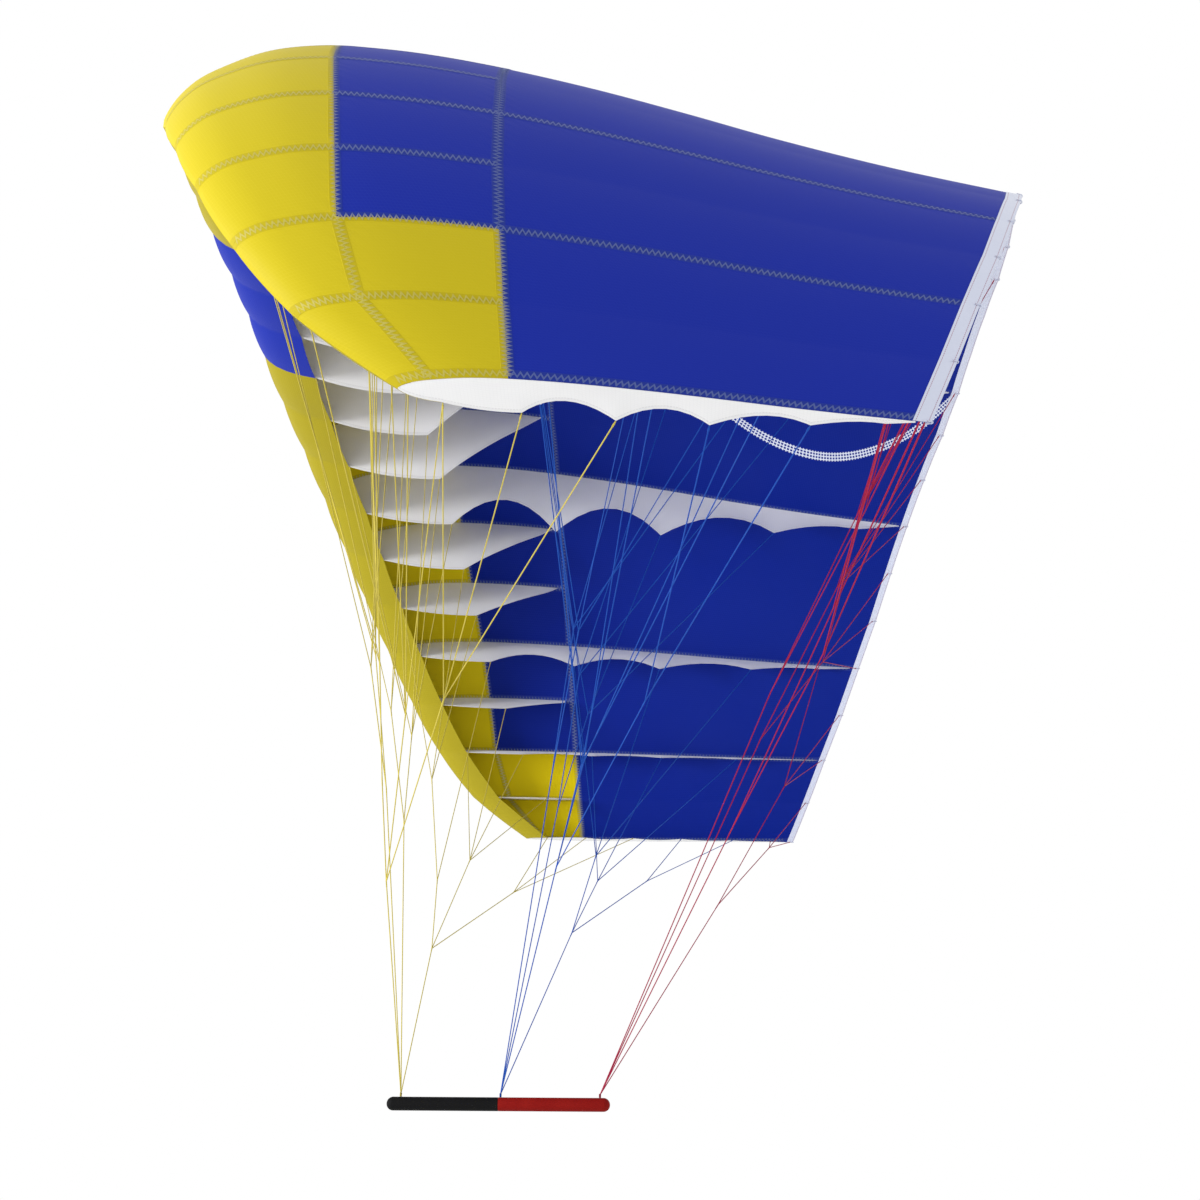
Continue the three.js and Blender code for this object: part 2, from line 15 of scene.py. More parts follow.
import bpy
import numpy as np
from mathutils import Matrix
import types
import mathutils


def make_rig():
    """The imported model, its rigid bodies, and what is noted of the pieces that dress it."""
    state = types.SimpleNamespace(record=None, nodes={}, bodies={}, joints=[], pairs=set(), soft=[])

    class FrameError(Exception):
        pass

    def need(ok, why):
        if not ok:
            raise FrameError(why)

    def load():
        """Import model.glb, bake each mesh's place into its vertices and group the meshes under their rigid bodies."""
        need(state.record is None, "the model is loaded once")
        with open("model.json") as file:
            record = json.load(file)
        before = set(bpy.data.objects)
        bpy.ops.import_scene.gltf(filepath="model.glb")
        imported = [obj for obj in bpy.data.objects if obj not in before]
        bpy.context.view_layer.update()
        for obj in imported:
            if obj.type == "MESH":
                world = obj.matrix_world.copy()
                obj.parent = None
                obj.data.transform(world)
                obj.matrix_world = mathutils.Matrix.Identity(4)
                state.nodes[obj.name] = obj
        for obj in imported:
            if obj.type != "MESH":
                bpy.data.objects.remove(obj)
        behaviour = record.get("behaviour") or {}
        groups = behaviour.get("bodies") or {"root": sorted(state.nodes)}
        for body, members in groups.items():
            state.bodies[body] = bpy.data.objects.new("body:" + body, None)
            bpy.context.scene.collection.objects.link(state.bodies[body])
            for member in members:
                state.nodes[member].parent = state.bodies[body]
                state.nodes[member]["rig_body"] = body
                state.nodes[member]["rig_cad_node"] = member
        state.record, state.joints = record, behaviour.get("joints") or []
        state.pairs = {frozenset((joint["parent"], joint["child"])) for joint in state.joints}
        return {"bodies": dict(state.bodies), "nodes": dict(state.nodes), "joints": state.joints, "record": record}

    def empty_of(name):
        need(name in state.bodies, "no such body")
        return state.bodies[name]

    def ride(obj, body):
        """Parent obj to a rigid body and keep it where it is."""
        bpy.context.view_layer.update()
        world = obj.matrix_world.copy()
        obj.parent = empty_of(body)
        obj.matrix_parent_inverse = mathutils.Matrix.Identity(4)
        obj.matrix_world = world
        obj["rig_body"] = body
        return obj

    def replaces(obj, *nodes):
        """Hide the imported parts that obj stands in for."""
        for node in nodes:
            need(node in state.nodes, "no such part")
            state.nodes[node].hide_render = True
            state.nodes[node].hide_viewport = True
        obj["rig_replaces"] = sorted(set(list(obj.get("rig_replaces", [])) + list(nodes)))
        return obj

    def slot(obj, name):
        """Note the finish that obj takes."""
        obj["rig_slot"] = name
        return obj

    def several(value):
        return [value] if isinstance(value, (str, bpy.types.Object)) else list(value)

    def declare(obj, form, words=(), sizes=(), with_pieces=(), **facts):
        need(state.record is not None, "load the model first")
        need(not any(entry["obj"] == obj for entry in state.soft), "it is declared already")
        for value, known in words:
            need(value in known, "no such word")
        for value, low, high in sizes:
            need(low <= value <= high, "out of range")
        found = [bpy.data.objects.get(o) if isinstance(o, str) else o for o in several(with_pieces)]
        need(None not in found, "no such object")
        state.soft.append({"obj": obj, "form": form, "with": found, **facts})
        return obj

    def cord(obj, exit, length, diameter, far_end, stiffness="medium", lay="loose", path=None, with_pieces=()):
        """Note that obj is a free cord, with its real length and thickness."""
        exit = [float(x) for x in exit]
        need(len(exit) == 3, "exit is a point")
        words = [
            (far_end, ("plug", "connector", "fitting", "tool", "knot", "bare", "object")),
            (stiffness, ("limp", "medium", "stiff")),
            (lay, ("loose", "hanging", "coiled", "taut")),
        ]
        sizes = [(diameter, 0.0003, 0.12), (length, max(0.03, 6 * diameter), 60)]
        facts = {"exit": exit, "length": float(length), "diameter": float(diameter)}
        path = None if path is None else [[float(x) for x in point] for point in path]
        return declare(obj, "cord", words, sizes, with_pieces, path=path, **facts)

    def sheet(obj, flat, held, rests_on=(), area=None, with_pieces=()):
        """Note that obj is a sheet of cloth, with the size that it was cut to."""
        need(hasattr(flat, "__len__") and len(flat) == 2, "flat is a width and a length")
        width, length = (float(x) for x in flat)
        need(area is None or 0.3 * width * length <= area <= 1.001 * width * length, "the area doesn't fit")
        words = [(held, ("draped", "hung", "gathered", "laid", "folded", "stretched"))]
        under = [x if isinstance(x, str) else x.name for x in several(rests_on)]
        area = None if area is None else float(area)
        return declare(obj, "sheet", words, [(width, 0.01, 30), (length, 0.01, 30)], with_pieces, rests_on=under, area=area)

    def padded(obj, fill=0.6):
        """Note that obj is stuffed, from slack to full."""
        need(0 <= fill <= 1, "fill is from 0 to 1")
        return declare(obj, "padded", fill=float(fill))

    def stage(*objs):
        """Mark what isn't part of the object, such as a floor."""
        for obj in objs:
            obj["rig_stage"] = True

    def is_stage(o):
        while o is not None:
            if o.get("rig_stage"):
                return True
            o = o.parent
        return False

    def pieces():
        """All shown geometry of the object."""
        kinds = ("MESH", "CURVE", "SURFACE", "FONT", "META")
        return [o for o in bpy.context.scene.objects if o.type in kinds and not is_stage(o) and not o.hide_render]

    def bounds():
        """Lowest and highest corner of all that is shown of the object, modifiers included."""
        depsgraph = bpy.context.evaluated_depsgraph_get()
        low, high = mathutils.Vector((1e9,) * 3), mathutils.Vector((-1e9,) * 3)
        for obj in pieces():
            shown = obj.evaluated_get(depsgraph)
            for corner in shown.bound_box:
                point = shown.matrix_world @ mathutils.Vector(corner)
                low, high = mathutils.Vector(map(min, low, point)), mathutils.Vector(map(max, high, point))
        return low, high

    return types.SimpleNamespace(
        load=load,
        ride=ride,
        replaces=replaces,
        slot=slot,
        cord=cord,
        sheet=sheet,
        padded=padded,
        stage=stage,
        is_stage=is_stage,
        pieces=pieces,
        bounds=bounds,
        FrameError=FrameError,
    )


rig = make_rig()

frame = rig.load()
cad_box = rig.bounds()
log = logging.getLogger("parawing")

Array = np.ndarray
Colour = tuple[float, float, float, float]

BODY = "root"
SIZE_FILE = "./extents.json"

# Cloth, seams and lines. TAPE_FACE is how far the solid tape's face is off the middle of the skin.
CLOTH_HALF = 0.00025
SEAM_GAP = 0.0003
SEAM_MARGIN = 0.009
SEAM_LIP = 0.0004
SEAM_RAISE = 0.0003
TAIL_HEIGHT = 1.644
CELL_BULGE = 0.03
LINE_RADIUS = 0.001
TAPE_FACE = 0.0017
TAPE_OUTSIDE = 0.026
TAPE_INSIDE = 0.016

# Places along the section: the strip's free edge, the nose, the two spanwise seams, the tail
FREE_EDGE, NOSE, FRONT_SEAM, MIDDLE_SEAM, TAIL = range(5)

# What counts as the distance to a seam where there is none
FAR_FROM_SEAMS = 1.0


class Slot(Enum):
    """The record's material slots."""

    YELLOW_CLOTH = "yellow_cloth"
    BLUE_CLOTH = "blue_cloth"
    RIB_CLOTH = "rib_cloth"
    TIP_CLOTH = "tip_cloth"
    EDGE_TAPE = "edge_tape"
    BLACK_GRIP = "black_grip"
    RED_GRIP = "red_grip"
    YELLOW_LINE = "yellow_line"
    BLUE_LINE = "blue_line"
    RED_LINE = "red_line"


class Side(Enum):
    """The two halves of the wing and the sign of their Y."""

    LEFT = -1
    RIGHT = 1

    @property
    def label(self) -> str:
        """The half's name as the nodes spell it."""
        return self.name.lower()


def paint(red: int, green: int, blue: int) -> Colour:
    """Turns a colour as seen on a screen into the light that a shader works with.

    Args:
        red: Red, from 0 to 255.
        green: Green, from 0 to 255.
        blue: Blue, from 0 to 255.

    Returns:
        The linear colour, opaque.
    """
    shares = (channel / 255 for channel in (red, green, blue))
    linear = [s / 12.92 if s <= 0.04045 else ((s + 0.055) / 1.055) ** 2.4 for s in shares]
    return (*linear, 1.0)


def unit(vectors: Array) -> Array:
    """Scales vectors, one in each last row, to length one."""
    return vectors / np.linalg.norm(vectors, axis=-1, keepdims=True)


def stance(right: Array, up: Array, back: Array, at: Sequence[float]) -> Matrix:
    """Turns a camera or lamp by its own three directions and stands it somewhere.

    Args:
        right: Its right.
        up: Its top.
        back: The way opposite to where it looks.
        at: Where it stands.

    Returns:
        Its world matrix.
    """
    rows = np.stack([right, up, back, np.asarray(at)], axis=1)
    return Matrix([*rows.tolist(), (0, 0, 0, 1)])


def blend(first: Array, second: Array, share: Array) -> Array:
    """Goes from the first numbers or points to the second by a share for each."""
    share = share[..., None] if np.ndim(first) > np.ndim(share) else share
    return first + (second - first) * share


def run_along(path: Array) -> Array:
    """How far along a path each of its points is."""
    return np.concatenate([[0.0], np.cumsum(np.linalg.norm(np.diff(path, axis=0), axis=1))])


def matched(u: Any, v: Any) -> list[Array]:
    """Brings places u and v to one shape."""
    return list(np.broadcast_arrays(np.asarray(u, float), np.asarray(v, float)))


# Shaders


@dataclass(frozen=True)
class Value:
    """A number socket in a material, so that sums on it read as plain expressions."""

    sketch: "Sketch"
    socket: bpy.types.NodeSocket

    def __add__(self, other: "Number") -> "Value":
        """Adds a value or a number."""
        return self.sketch.math("ADD", self, other)

    def __radd__(self, other: "Number") -> "Value":
        """Is added to a number."""
        return self.sketch.math("ADD", other, self)

    def __sub__(self, other: "Number") -> "Value":
        """Takes a value or a number away."""
        return self.sketch.math("SUBTRACT", self, other)

    def __rsub__(self, other: "Number") -> "Value":
        """Is taken away from a number."""
        return self.sketch.math("SUBTRACT", other, self)

    def __mul__(self, other: "Number") -> "Value":
        """Multiplies by a value or a number."""
        return self.sketch.math("MULTIPLY", self, other)

    def __rmul__(self, other: "Number") -> "Value":
        """Multiplies a number."""
        return self.sketch.math("MULTIPLY", other, self)

    def __truediv__(self, other: "Number") -> "Value":
        """Divides by a value or a number."""
        return self.sketch.math("DIVIDE", self, other)

    def __mod__(self, other: "Number") -> "Value":
        """Leaves the rest of a division, never below nought."""
        return self.sketch.math("FLOORED_MODULO", self, other)

    def __abs__(self) -> "Value":
        """Drops the sign."""
        return self.sketch.math("ABSOLUTE", self)

    def most(self, other: "Number") -> "Value":
        """The larger of two values."""
        return self.sketch.math("MAXIMUM", self, other)

    def root(self) -> "Value":
        """The square root."""
        return self.sketch.math("SQRT", self)

    def wave(self) -> "Value":
        """The sine."""
        return self.sketch.math("SINE", self)

    def off_centre(self, pitch: float) -> "Value":
        """How far it is from the middle of its step in a row, as a share of the row's pitch."""
        return abs((self / pitch) % 1.0 - 0.5)

    def rise(self, low: float, high: float) -> "Value":
        """Goes smoothly from 0 at low to 1 at high.

        Args:
            low: Where the rise starts.
            high: Where it ends.

        Returns:
            A mask from 0 to 1.
        """
        settings = {"interpolation_type": "SMOOTHSTEP", "clamp": True}
        inputs = {"Value": self, "From Min": low, "From Max": high}
        made = self.sketch.node("ShaderNodeMapRange", settings, inputs)
        return Value(self.sketch, made.outputs["Result"])


Number = Value | float

# Where in their noise the soft patches of a cloth's colour start and are full
PATCHES = (0.35, 0.7)


class Sketch:
    """One material in the making."""

    def __init__(self, name: str, **constants: float) -> None:
        """Starts a material with one surface shader.

        Args:
            name: The material's name.
            **constants: What the shader's own sockets hold, with _ for a space in their names.
        """
        self.material = bpy.data.materials.new(name)
        self.material.use_nodes = True
        self.nodes = self.material.node_tree.nodes
        self.links = self.material.node_tree.links
        self.surface = self.nodes["Principled BSDF"]
        for socket, constant in constants.items():
            self.surface.inputs[socket.replace("_", " ")].default_value = constant

    def node(self, kind: str, settings: dict[str, Any], inputs: dict[Any, Any]) -> bpy.types.Node:
        """Adds a node.

        Args:
            kind: The node's type.
            settings: Its options, which are set before its sockets.
            inputs: What each socket holds or is fed by, by the socket's name or place.

        Returns:
            The node.
        """
        made = self.nodes.new(kind)
        for option, choice in settings.items():
            setattr(made, option, choice)
        for key, what in inputs.items():
            self.feed(made.inputs[key], what)
        return made

    def feed(self, socket: bpy.types.NodeSocket, what: Any) -> None:
        """Links a socket to what feeds it, or sets it.

        Args:
            socket: The socket.
            what: A value, another socket, a number or a colour.
        """
        if isinstance(what, Value):
            what = what.socket
        if isinstance(what, bpy.types.NodeSocket):
            self.links.new(what, socket)
        else:
            socket.default_value = what

    def math(self, operation: str, *terms: Number) -> Value:
        """Adds a Math node on the terms and returns what it gives."""
        made = self.node("ShaderNodeMath", {"operation": operation}, dict(enumerate(terms)))
        return Value(self, made.outputs[0])

    def lay(self, base: Any, *layers: tuple[Number, Any]) -> Any:
        """Lays colours over each other.

        Args:
            base: The lowest colour or its socket.
            *layers: How much of each further colour shows, and that colour.

        Returns:
            The mixed colour's socket.
        """
        settings = {"data_type": "RGBA", "clamp_factor": True}
        for mask, colour in layers:
            made = self.node("ShaderNodeMix", settings, {0: mask, 6: base, 7: colour})
            base = made.outputs[2]
        return base

    def attribute(self, name: str) -> Value:
        """Reads a number that the mesh carries at its points."""
        made = self.node("ShaderNodeAttribute", {"attribute_name": name}, {})
        return Value(self, made.outputs["Fac"])

    def place(self, kind: str) -> bpy.types.NodeSocket:
        """The place on the piece: its UV map, or Object coordinates."""
        return self.node("ShaderNodeTexCoord", {}, {}).outputs[kind]

    def axes(self, kind: str) -> tuple[Value, Value, Value]:
        """The place on the piece as three numbers."""
        parts = self.node("ShaderNodeSeparateXYZ", {}, {0: self.place(kind)}).outputs
        return Value(self, parts[0]), Value(self, parts[1]), Value(self, parts[2])

    def threads(self, pitch: float, low: float, high: float) -> Value:
        """The grid of thicker threads in a ripstop cloth.

        Args:
            pitch: How far apart they are.
            low: Where a thread starts, as a share of the pitch from the middle of a square.
            high: Where it is full.

        Returns:
            A mask from 0 to 1.
        """
        across, along, _ = self.axes("UV")
        return across.off_centre(pitch).most(along.off_centre(pitch)).rise(low, high)

    def noise(self, where: bpy.types.NodeSocket, scale: float, detail: float = 3.0) -> Value:
        """Adds soft noise.

        Args:
            where: The coordinates that it is read at.
            scale: How many of its waves fit in a metre.
            detail: How many finer layers it has.

        Returns:
            The noise, about a half on average.
        """
        inputs = {"Vector": where, "Scale": scale, "Detail": detail, "Roughness": 0.55}
        made = self.node("ShaderNodeTexNoise", {}, inputs)
        return Value(self, made.outputs["Fac"])

    def stretched(self, kind: str, scale: Sequence[float]) -> bpy.types.NodeSocket:
        """Coordinates stretched by a scale for each axis."""
        made = self.node("ShaderNodeMapping", {}, {"Vector": self.place(kind), "Scale": scale})
        return made.outputs["Vector"]

    def finish(self, colour: Any, height: Value, depth: float, strength: float) -> bpy.types.Material:
        """Feeds the surface's colour and relief.

        Args:
            colour: The base colour or its socket.
            height: The relief, in shares of depth.
            depth: How far the relief stands out, in metres.
            strength: How much of the relief shows.

        Returns:
            The finished material.
        """
        inputs = {"Height": height, "Distance": depth, "Strength": strength}
        bump = self.node("ShaderNodeBump", {}, inputs)
        self.feed(self.surface.inputs["Base Color"], colour)
        self.feed(self.surface.inputs["Normal"], bump.outputs["Normal"])
        return self.material


@dataclass(frozen=True)
class Ripstop:
    """Coated ripstop cloth for the skin, darker where it is doubled along a seam, with a painted-light colour on its
    inside face.
    """

    name: str
    cloth: Colour
    # inner is the inside face's colour, painted light: a darker blue as painted shade inside the canopy, a deeper
    # yellow as painted light through the cloth.
    inner: Colour
    thread: Colour
    doubled: Colour
    stripe: bool = False
    grid: float = 0.006
    seam_edge: tuple[float, float] = (SEAM_MARGIN - 0.0003, SEAM_MARGIN + 0.0005)
    seam_strength: float = 0.7
    gather_reach: float = 0.045
    gathers_per_metre: float = 190.0
    relief: float = 0.0012

    def build(self) -> bpy.types.Material:
        """Makes the material.

        Returns:
            The material, with the dots of the stripe where it has one.
        """
        sketch = Sketch(self.name, Roughness=0.5, Specular_IOR_Level=0.1, IOR=1.35)
        threads = sketch.threads(self.grid, 0.4, 0.47)
        seam = 1 - sketch.attribute("seam").rise(*self.seam_edge)
        patches = sketch.noise(sketch.place("Object"), 2.2).rise(*PATCHES)
        fine = sketch.noise(sketch.stretched("UV", (60.0, 9.0, 1.0)), 1.0)
        # The inside face starts from the painted-light inner colour; the outside takes the cloth's own colour.
        colour = sketch.lay(
            self.inner,
            (sketch.attribute("outside"), self.cloth),
            (threads * 0.1, self.thread),
            (patches * 0.08, self.doubled),
            (seam * self.seam_strength, self.doubled),
        )
        if self.stripe:
            dots = DottedStripe()
            colour = sketch.lay(colour, (dots.mask(sketch), dots.ink))
        height = threads * 0.12 + self._gathers(sketch) * 0.22 + fine * 0.15
        return sketch.finish(colour, height, self.relief, 0.35)

    def _gathers(self, sketch: Sketch) -> Value:
        """Small gathers that run out from the seams.

        Args:
            sketch: The material.

        Returns:
            Their height, from -1 to 1.
        """
        across, along, _ = sketch.axes("UV")
        near = 1 - sketch.attribute("seam").rise(0.0, self.gather_reach)
        waver = sketch.noise(sketch.place("UV"), 14.0) * 9.0
        return near * ((along + across) * self.gathers_per_metre + waver).wave()


@dataclass(frozen=True)
class DottedStripe:
    """A plain stripe of small dots that bends in one sweep over the inside of the rear panels."""

    middle: float = 0.690
    forward: float = 0.418
    aft: float = 0.355
    aside: float = 0.559
    width: float = 0.024
    pitch: float = 0.0096
    row: float = 0.0081
    blur: float = 0.0006
    ink: Colour = paint(214, 220, 235)

    def mask(self, sketch: Sketch) -> Value:
        """Where the ink lies.

        Args:
            sketch: The material that it is printed on.

        Returns:
            A mask from 0 to 1, only on the inside of the cloth.
        """
        x, y, _ = sketch.axes("Object")
        ahead = x - self.middle
        reach = self.forward + (self.aft - self.forward) * ahead.rise(-0.02, 0.02)
        round_x, round_y = ahead / reach, y / self.aside
        radius = (self.forward + self.aside) / 2
        offset = ((round_x * round_x + round_y * round_y).root() - 1) * radius
        band = 1 - abs(offset).rise(self.width / 2 - self.blur, self.width / 2 + self.blur)
        turn = sketch.math("ARCTAN2", round_y, round_x) * radius
        dots = turn.off_centre(self.pitch).most(offset.off_centre(self.row)).rise(0.3, 0.35)
        return band * dots * (1 - sketch.attribute("outside"))


@dataclass(frozen=True)
class RibCloth:
    """Uncoated white cloth for the ribs, hemmed and stitched along its lower edge."""

    name: str
    cloth: Colour
    shade: Colour
    grid: float = 0.005
    hem: float = 0.008
    stitch: float = 0.0042
    relief: float = 0.001

    def build(self) -> bpy.types.Material:
        """Makes the material.

        Returns:
            The material.
        """
        sketch = Sketch(self.name, Roughness=0.62, Sheen_Weight=0.15, Sheen_Roughness=0.4)
        across = sketch.axes("UV")[0]
        edge = sketch.attribute("edge")
        threads = sketch.threads(self.grid, 0.42, 0.47)
        row = 1 - abs(edge - self.hem).rise(0.0004, 0.0009)
        stitches = row * across.off_centre(self.stitch).rise(0.12, 0.18)
        hem = 1 - edge.rise(self.hem, self.hem + 0.0004)
        patches = sketch.noise(sketch.place("Object"), 3.5).rise(*PATCHES)
        soft = sketch.noise(sketch.stretched("UV", (7.0, 26.0, 1.0)), 1.0)
        colour = sketch.lay(
            self.cloth,
            (threads * 0.08, self.shade),
            (patches * 0.1, self.shade),
            (hem * 0.1 + stitches * 0.35, self.shade),
        )
        height = threads * 0.15 + hem * 0.3 + soft * 0.6
        return sketch.finish(colour, height, self.relief, 0.35)


@dataclass(frozen=True)
class EdgeTape:
    """Woven polyester tape with rows of stitches along it."""

    name: str
    weave: Colour
    thread: Colour
    shade: Colour = paint(120, 126, 150)
    rib: float = 0.0016
    stitch: float = 0.005
    rows: tuple[float, ...] = (0.004, 0.022, 0.030)
    relief: float = 0.0006

    def build(self) -> bpy.types.Material:
        """Makes the material.

        Returns:
            The material.
        """
        sketch = Sketch(self.name, Roughness=0.55, Sheen_Weight=0.3, Sheen_Roughness=0.4)
        along, across, _ = sketch.axes("UV")
        rib = along.off_centre(self.rib) * 2
        rows = [1 - abs(across - place).rise(0.0004, 0.0008) for place in self.rows]
        row = reduce(Value.most, rows)
        stitch = row * along.off_centre(self.stitch).rise(0.1, 0.16)
        colour = sketch.lay(self.weave, (stitch * 0.75, self.thread), (rib * 0.06, self.shade))
        return sketch.finish(colour, rib * 0.3 + stitch * 0.4, self.relief, 0.5)


@dataclass(frozen=True)
class SewingThread:
    """Twisted polyester thread of the seams."""

    name: str
    on_yellow: Colour
    on_blue: Colour
    shade: Colour = paint(120, 122, 125)
    twist: float = 0.0007
    relief: float = 0.0002

    def build(self) -> bpy.types.Material:
        """Makes the material.

        Returns:
            The material.
        """
        sketch = Sketch(self.name, Roughness=0.5, Specular_IOR_Level=0.3)
        twist = sketch.axes("UV")[1].off_centre(self.twist) * 2
        over_blue = sketch.attribute("over_blue")
        colour = sketch.lay(self.on_yellow, (over_blue, self.on_blue), (twist * 0.15, self.shade))
        return sketch.finish(colour, twist, self.relief, 0.4)


@dataclass(frozen=True)
class Braid:
    """The braided sheath of a line."""

    name: str
    fibre: Colour
    dark: Colour
    pitch: float = 0.0024
    turns: float = 2.0
    relief: float = 0.0003

    def build(self) -> bpy.types.Material:
        """Makes the material.

        Returns:
            The material.
        """
        sketch = Sketch(self.name, Roughness=0.6, Specular_IOR_Level=0.15)
        around, along, _ = sketch.axes("UV")
        twist = around * (self.turns * self.pitch)
        strands = [way.off_centre(self.pitch) * 2 for way in (along + twist, along - twist)]
        plait = strands[0].most(strands[1])
        fade = sketch.noise(sketch.stretched("UV", (1.0, 9.0, 1.0)), 1.0)
        colour = sketch.lay(
            self.fibre,
            (plait.rise(0.75, 1.0) * 0.35, self.dark),
            (fade.rise(0.4, 0.75) * 0.12, self.dark),
        )
        return sketch.finish(colour, 1 - plait, self.relief, 0.5)


@dataclass(frozen=True)
class GripFoam:
    """Closed-cell foam of the hand bar, with fine pores."""

    name: str
    foam: Colour
    worn: Colour
    relief: float = 0.0004

    def build(self) -> bpy.types.Material:
        """Makes the material.

        Returns:
            The material.
        """
        sketch = Sketch(self.name, Roughness=0.72, Specular_IOR_Level=0.12)
        pores = sketch.noise(sketch.place("Object"), 900.0, 2.0)
        rubbed = sketch.noise(sketch.place("Object"), 26.0)
        colour = sketch.lay(
            self.foam,
            (rubbed.rise(0.5, 0.75) * 0.3, self.worn),
            (pores.rise(0.55, 0.7) * 0.25, self.worn),
        )
        return sketch.finish(colour, pores + rubbed * 0.3, self.relief, 0.5)


class Finishes:
    """Every material of the wing, made once."""

    def __init__(self) -> None:
        """Makes the materials."""
        # Each cloth's second colour is its inside face, painted light: painted shade in the blue, painted light
        # through the cloth in the yellow.
        yellow = (paint(190, 173, 27), paint(210, 188, 8), paint(222, 208, 76), paint(172, 156, 26))
        # The strip under the nose takes darker yellows, a painted shade for its downward face.
        strip_painted_shade = (paint(152, 139, 30), paint(176, 158, 12), *yellow[2:])
        blue = (paint(24, 42, 152), paint(6, 30, 128), paint(60, 80, 180), paint(40, 56, 134))
        white, shade = paint(242, 242, 243), paint(165, 165, 167)
        self.yellow_cloth = Ripstop("yellow ripstop", *yellow).build()
        # Yellow cloth with painted shade, for the strip under the nose.
        self.turned_cloth = Ripstop("yellow ripstop turned under", *strip_painted_shade).build()
        self.blue_cloth = Ripstop("blue ripstop", *blue).build()
        self.striped_cloth = Ripstop("blue ripstop with stripe", *blue, stripe=True).build()
        self.rib_cloth = RibCloth("rib cloth", white, shade).build()
        self.tip_cloth = RibCloth("tip rib cloth", paint(238, 238, 238), shade).build()
        self.tape = EdgeTape("edge tape", paint(205, 210, 228), paint(150, 90, 110)).build()
        bright = (paint(184, 172, 64), paint(68, 86, 152))
        dull = (paint(176, 166, 90), paint(70, 84, 136))
        self.thread_outside = SewingThread("seam thread outside", *bright).build()
        self.thread_inside = SewingThread("seam thread inside", *dull).build()
        self.yellow_line = Braid("yellow line", paint(200, 184, 78), paint(146, 130, 40)).build()
        self.blue_line = Braid("blue line", paint(22, 78, 172), paint(12, 44, 120)).build()
        self.red_line = Braid("red line", paint(160, 20, 60), paint(104, 10, 36)).build()
        self.black_foam = GripFoam("black grip", paint(14, 14, 15), paint(26, 26, 28)).build()
        self.red_foam = GripFoam("red grip", paint(132, 12, 7), paint(150, 26, 17)).build()


# Camera and light


@dataclass(frozen=True)
class Studio:
    """The camera at the photograph's place, the pale floor and the soft light."""

    lens: float = 51.0
    sensor: float = 36.0
    stand: tuple[float, float, float] = (0.2869, -3.3067, -0.2880)
    tilt: float = 21.517
    turn: float = 1.815
    roll: float = 0.549
    key_place: tuple[float, float, float] = (-7.0, -2.2, 1.3)
    key_aim: tuple[float, float, float] = (0.0, -0.5, 1.3)
    key_size: float = 2.4
    key_watts: float = 480.0
    floor_height: float = -0.9
    floor_size: float = 300.0
    floor_tones: tuple[Colour, Colour] = (paint(236, 236, 236), paint(222, 222, 222))

    def place_camera(self) -> None:
        """Adds the camera and makes it the scene's."""
        tilt, turn, roll = (math.radians(angle) for angle in (self.tilt, self.turn, self.roll))
        level = np.array((math.cos(turn), math.sin(turn), 0.0))
        ahead = np.array((-math.sin(turn), math.cos(turn), 0.0))
        forward = ahead * math.cos(tilt) + np.array((0.0, 0.0, math.sin(tilt)))
        upright = np.cross(level, forward)
        right = math.cos(roll) * level + math.sin(roll) * upright
        up = np.cross(right, forward)
        camera = bpy.data.objects.new("camera", bpy.data.cameras.new("camera"))
        camera.data.lens = self.lens
        camera.data.sensor_width = self.sensor
        camera.matrix_world = stance(right, up, -forward, self.stand)
        bpy.context.scene.collection.objects.link(camera)
        bpy.context.scene.camera = camera

    def light(self) -> None:
        """Sets the white surroundings, the key light and the floor."""
        scene = bpy.context.scene
        scene.view_settings.view_transform = "Standard"
        scene.world = bpy.data.worlds.new("studio")
        scene.world.use_nodes = True
        surroundings = scene.world.node_tree.nodes["Background"].inputs
        surroundings["Color"].default_value = (1.0, 1.0, 1.0, 1.0)
        surroundings["Strength"].default_value = 1.0
        self._hang_key_light()
        self._lay_floor()

    def _hang_key_light(self) -> None:
        """Adds the square area light ahead of the wing."""
        data = bpy.data.lights.new("key light", "AREA")
        data.size = self.key_size
        data.energy = self.key_watts
        lamp = bpy.data.objects.new("key light", data)
        back = unit(np.array(self.key_place) - np.array(self.key_aim))
        side = unit(np.cross((0.0, 0.0, 1.0), back))
        lamp.matrix_world = stance(side, np.cross(back, side), back, self.key_place)
        bpy.context.scene.collection.objects.link(lamp)

    def _lay_floor(self) -> None:
        """Adds the pale floor under the bar."""
        bpy.ops.mesh.primitive_plane_add(size=self.floor_size, location=(0, 0, self.floor_height))
        floor = bpy.context.active_object
        floor.name = "floor"
        bpy.ops.object.transform_apply(location=True)
        sketch = Sketch("floor", Roughness=0.9)
        grain = sketch.noise(sketch.place("Object"), 40.0)
        colour = sketch.lay(self.floor_tones[0], (grain * 0.05, self.floor_tones[1]))
        floor.data.materials.append(sketch.finish(colour, grain, 0.0005, 0.2))
        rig.stage(floor)


# Meshes

# The sharpest folds, in degrees, that are still shaded smooth
SHEET_FOLD = 30.0
TUBE_FOLD = 60.0


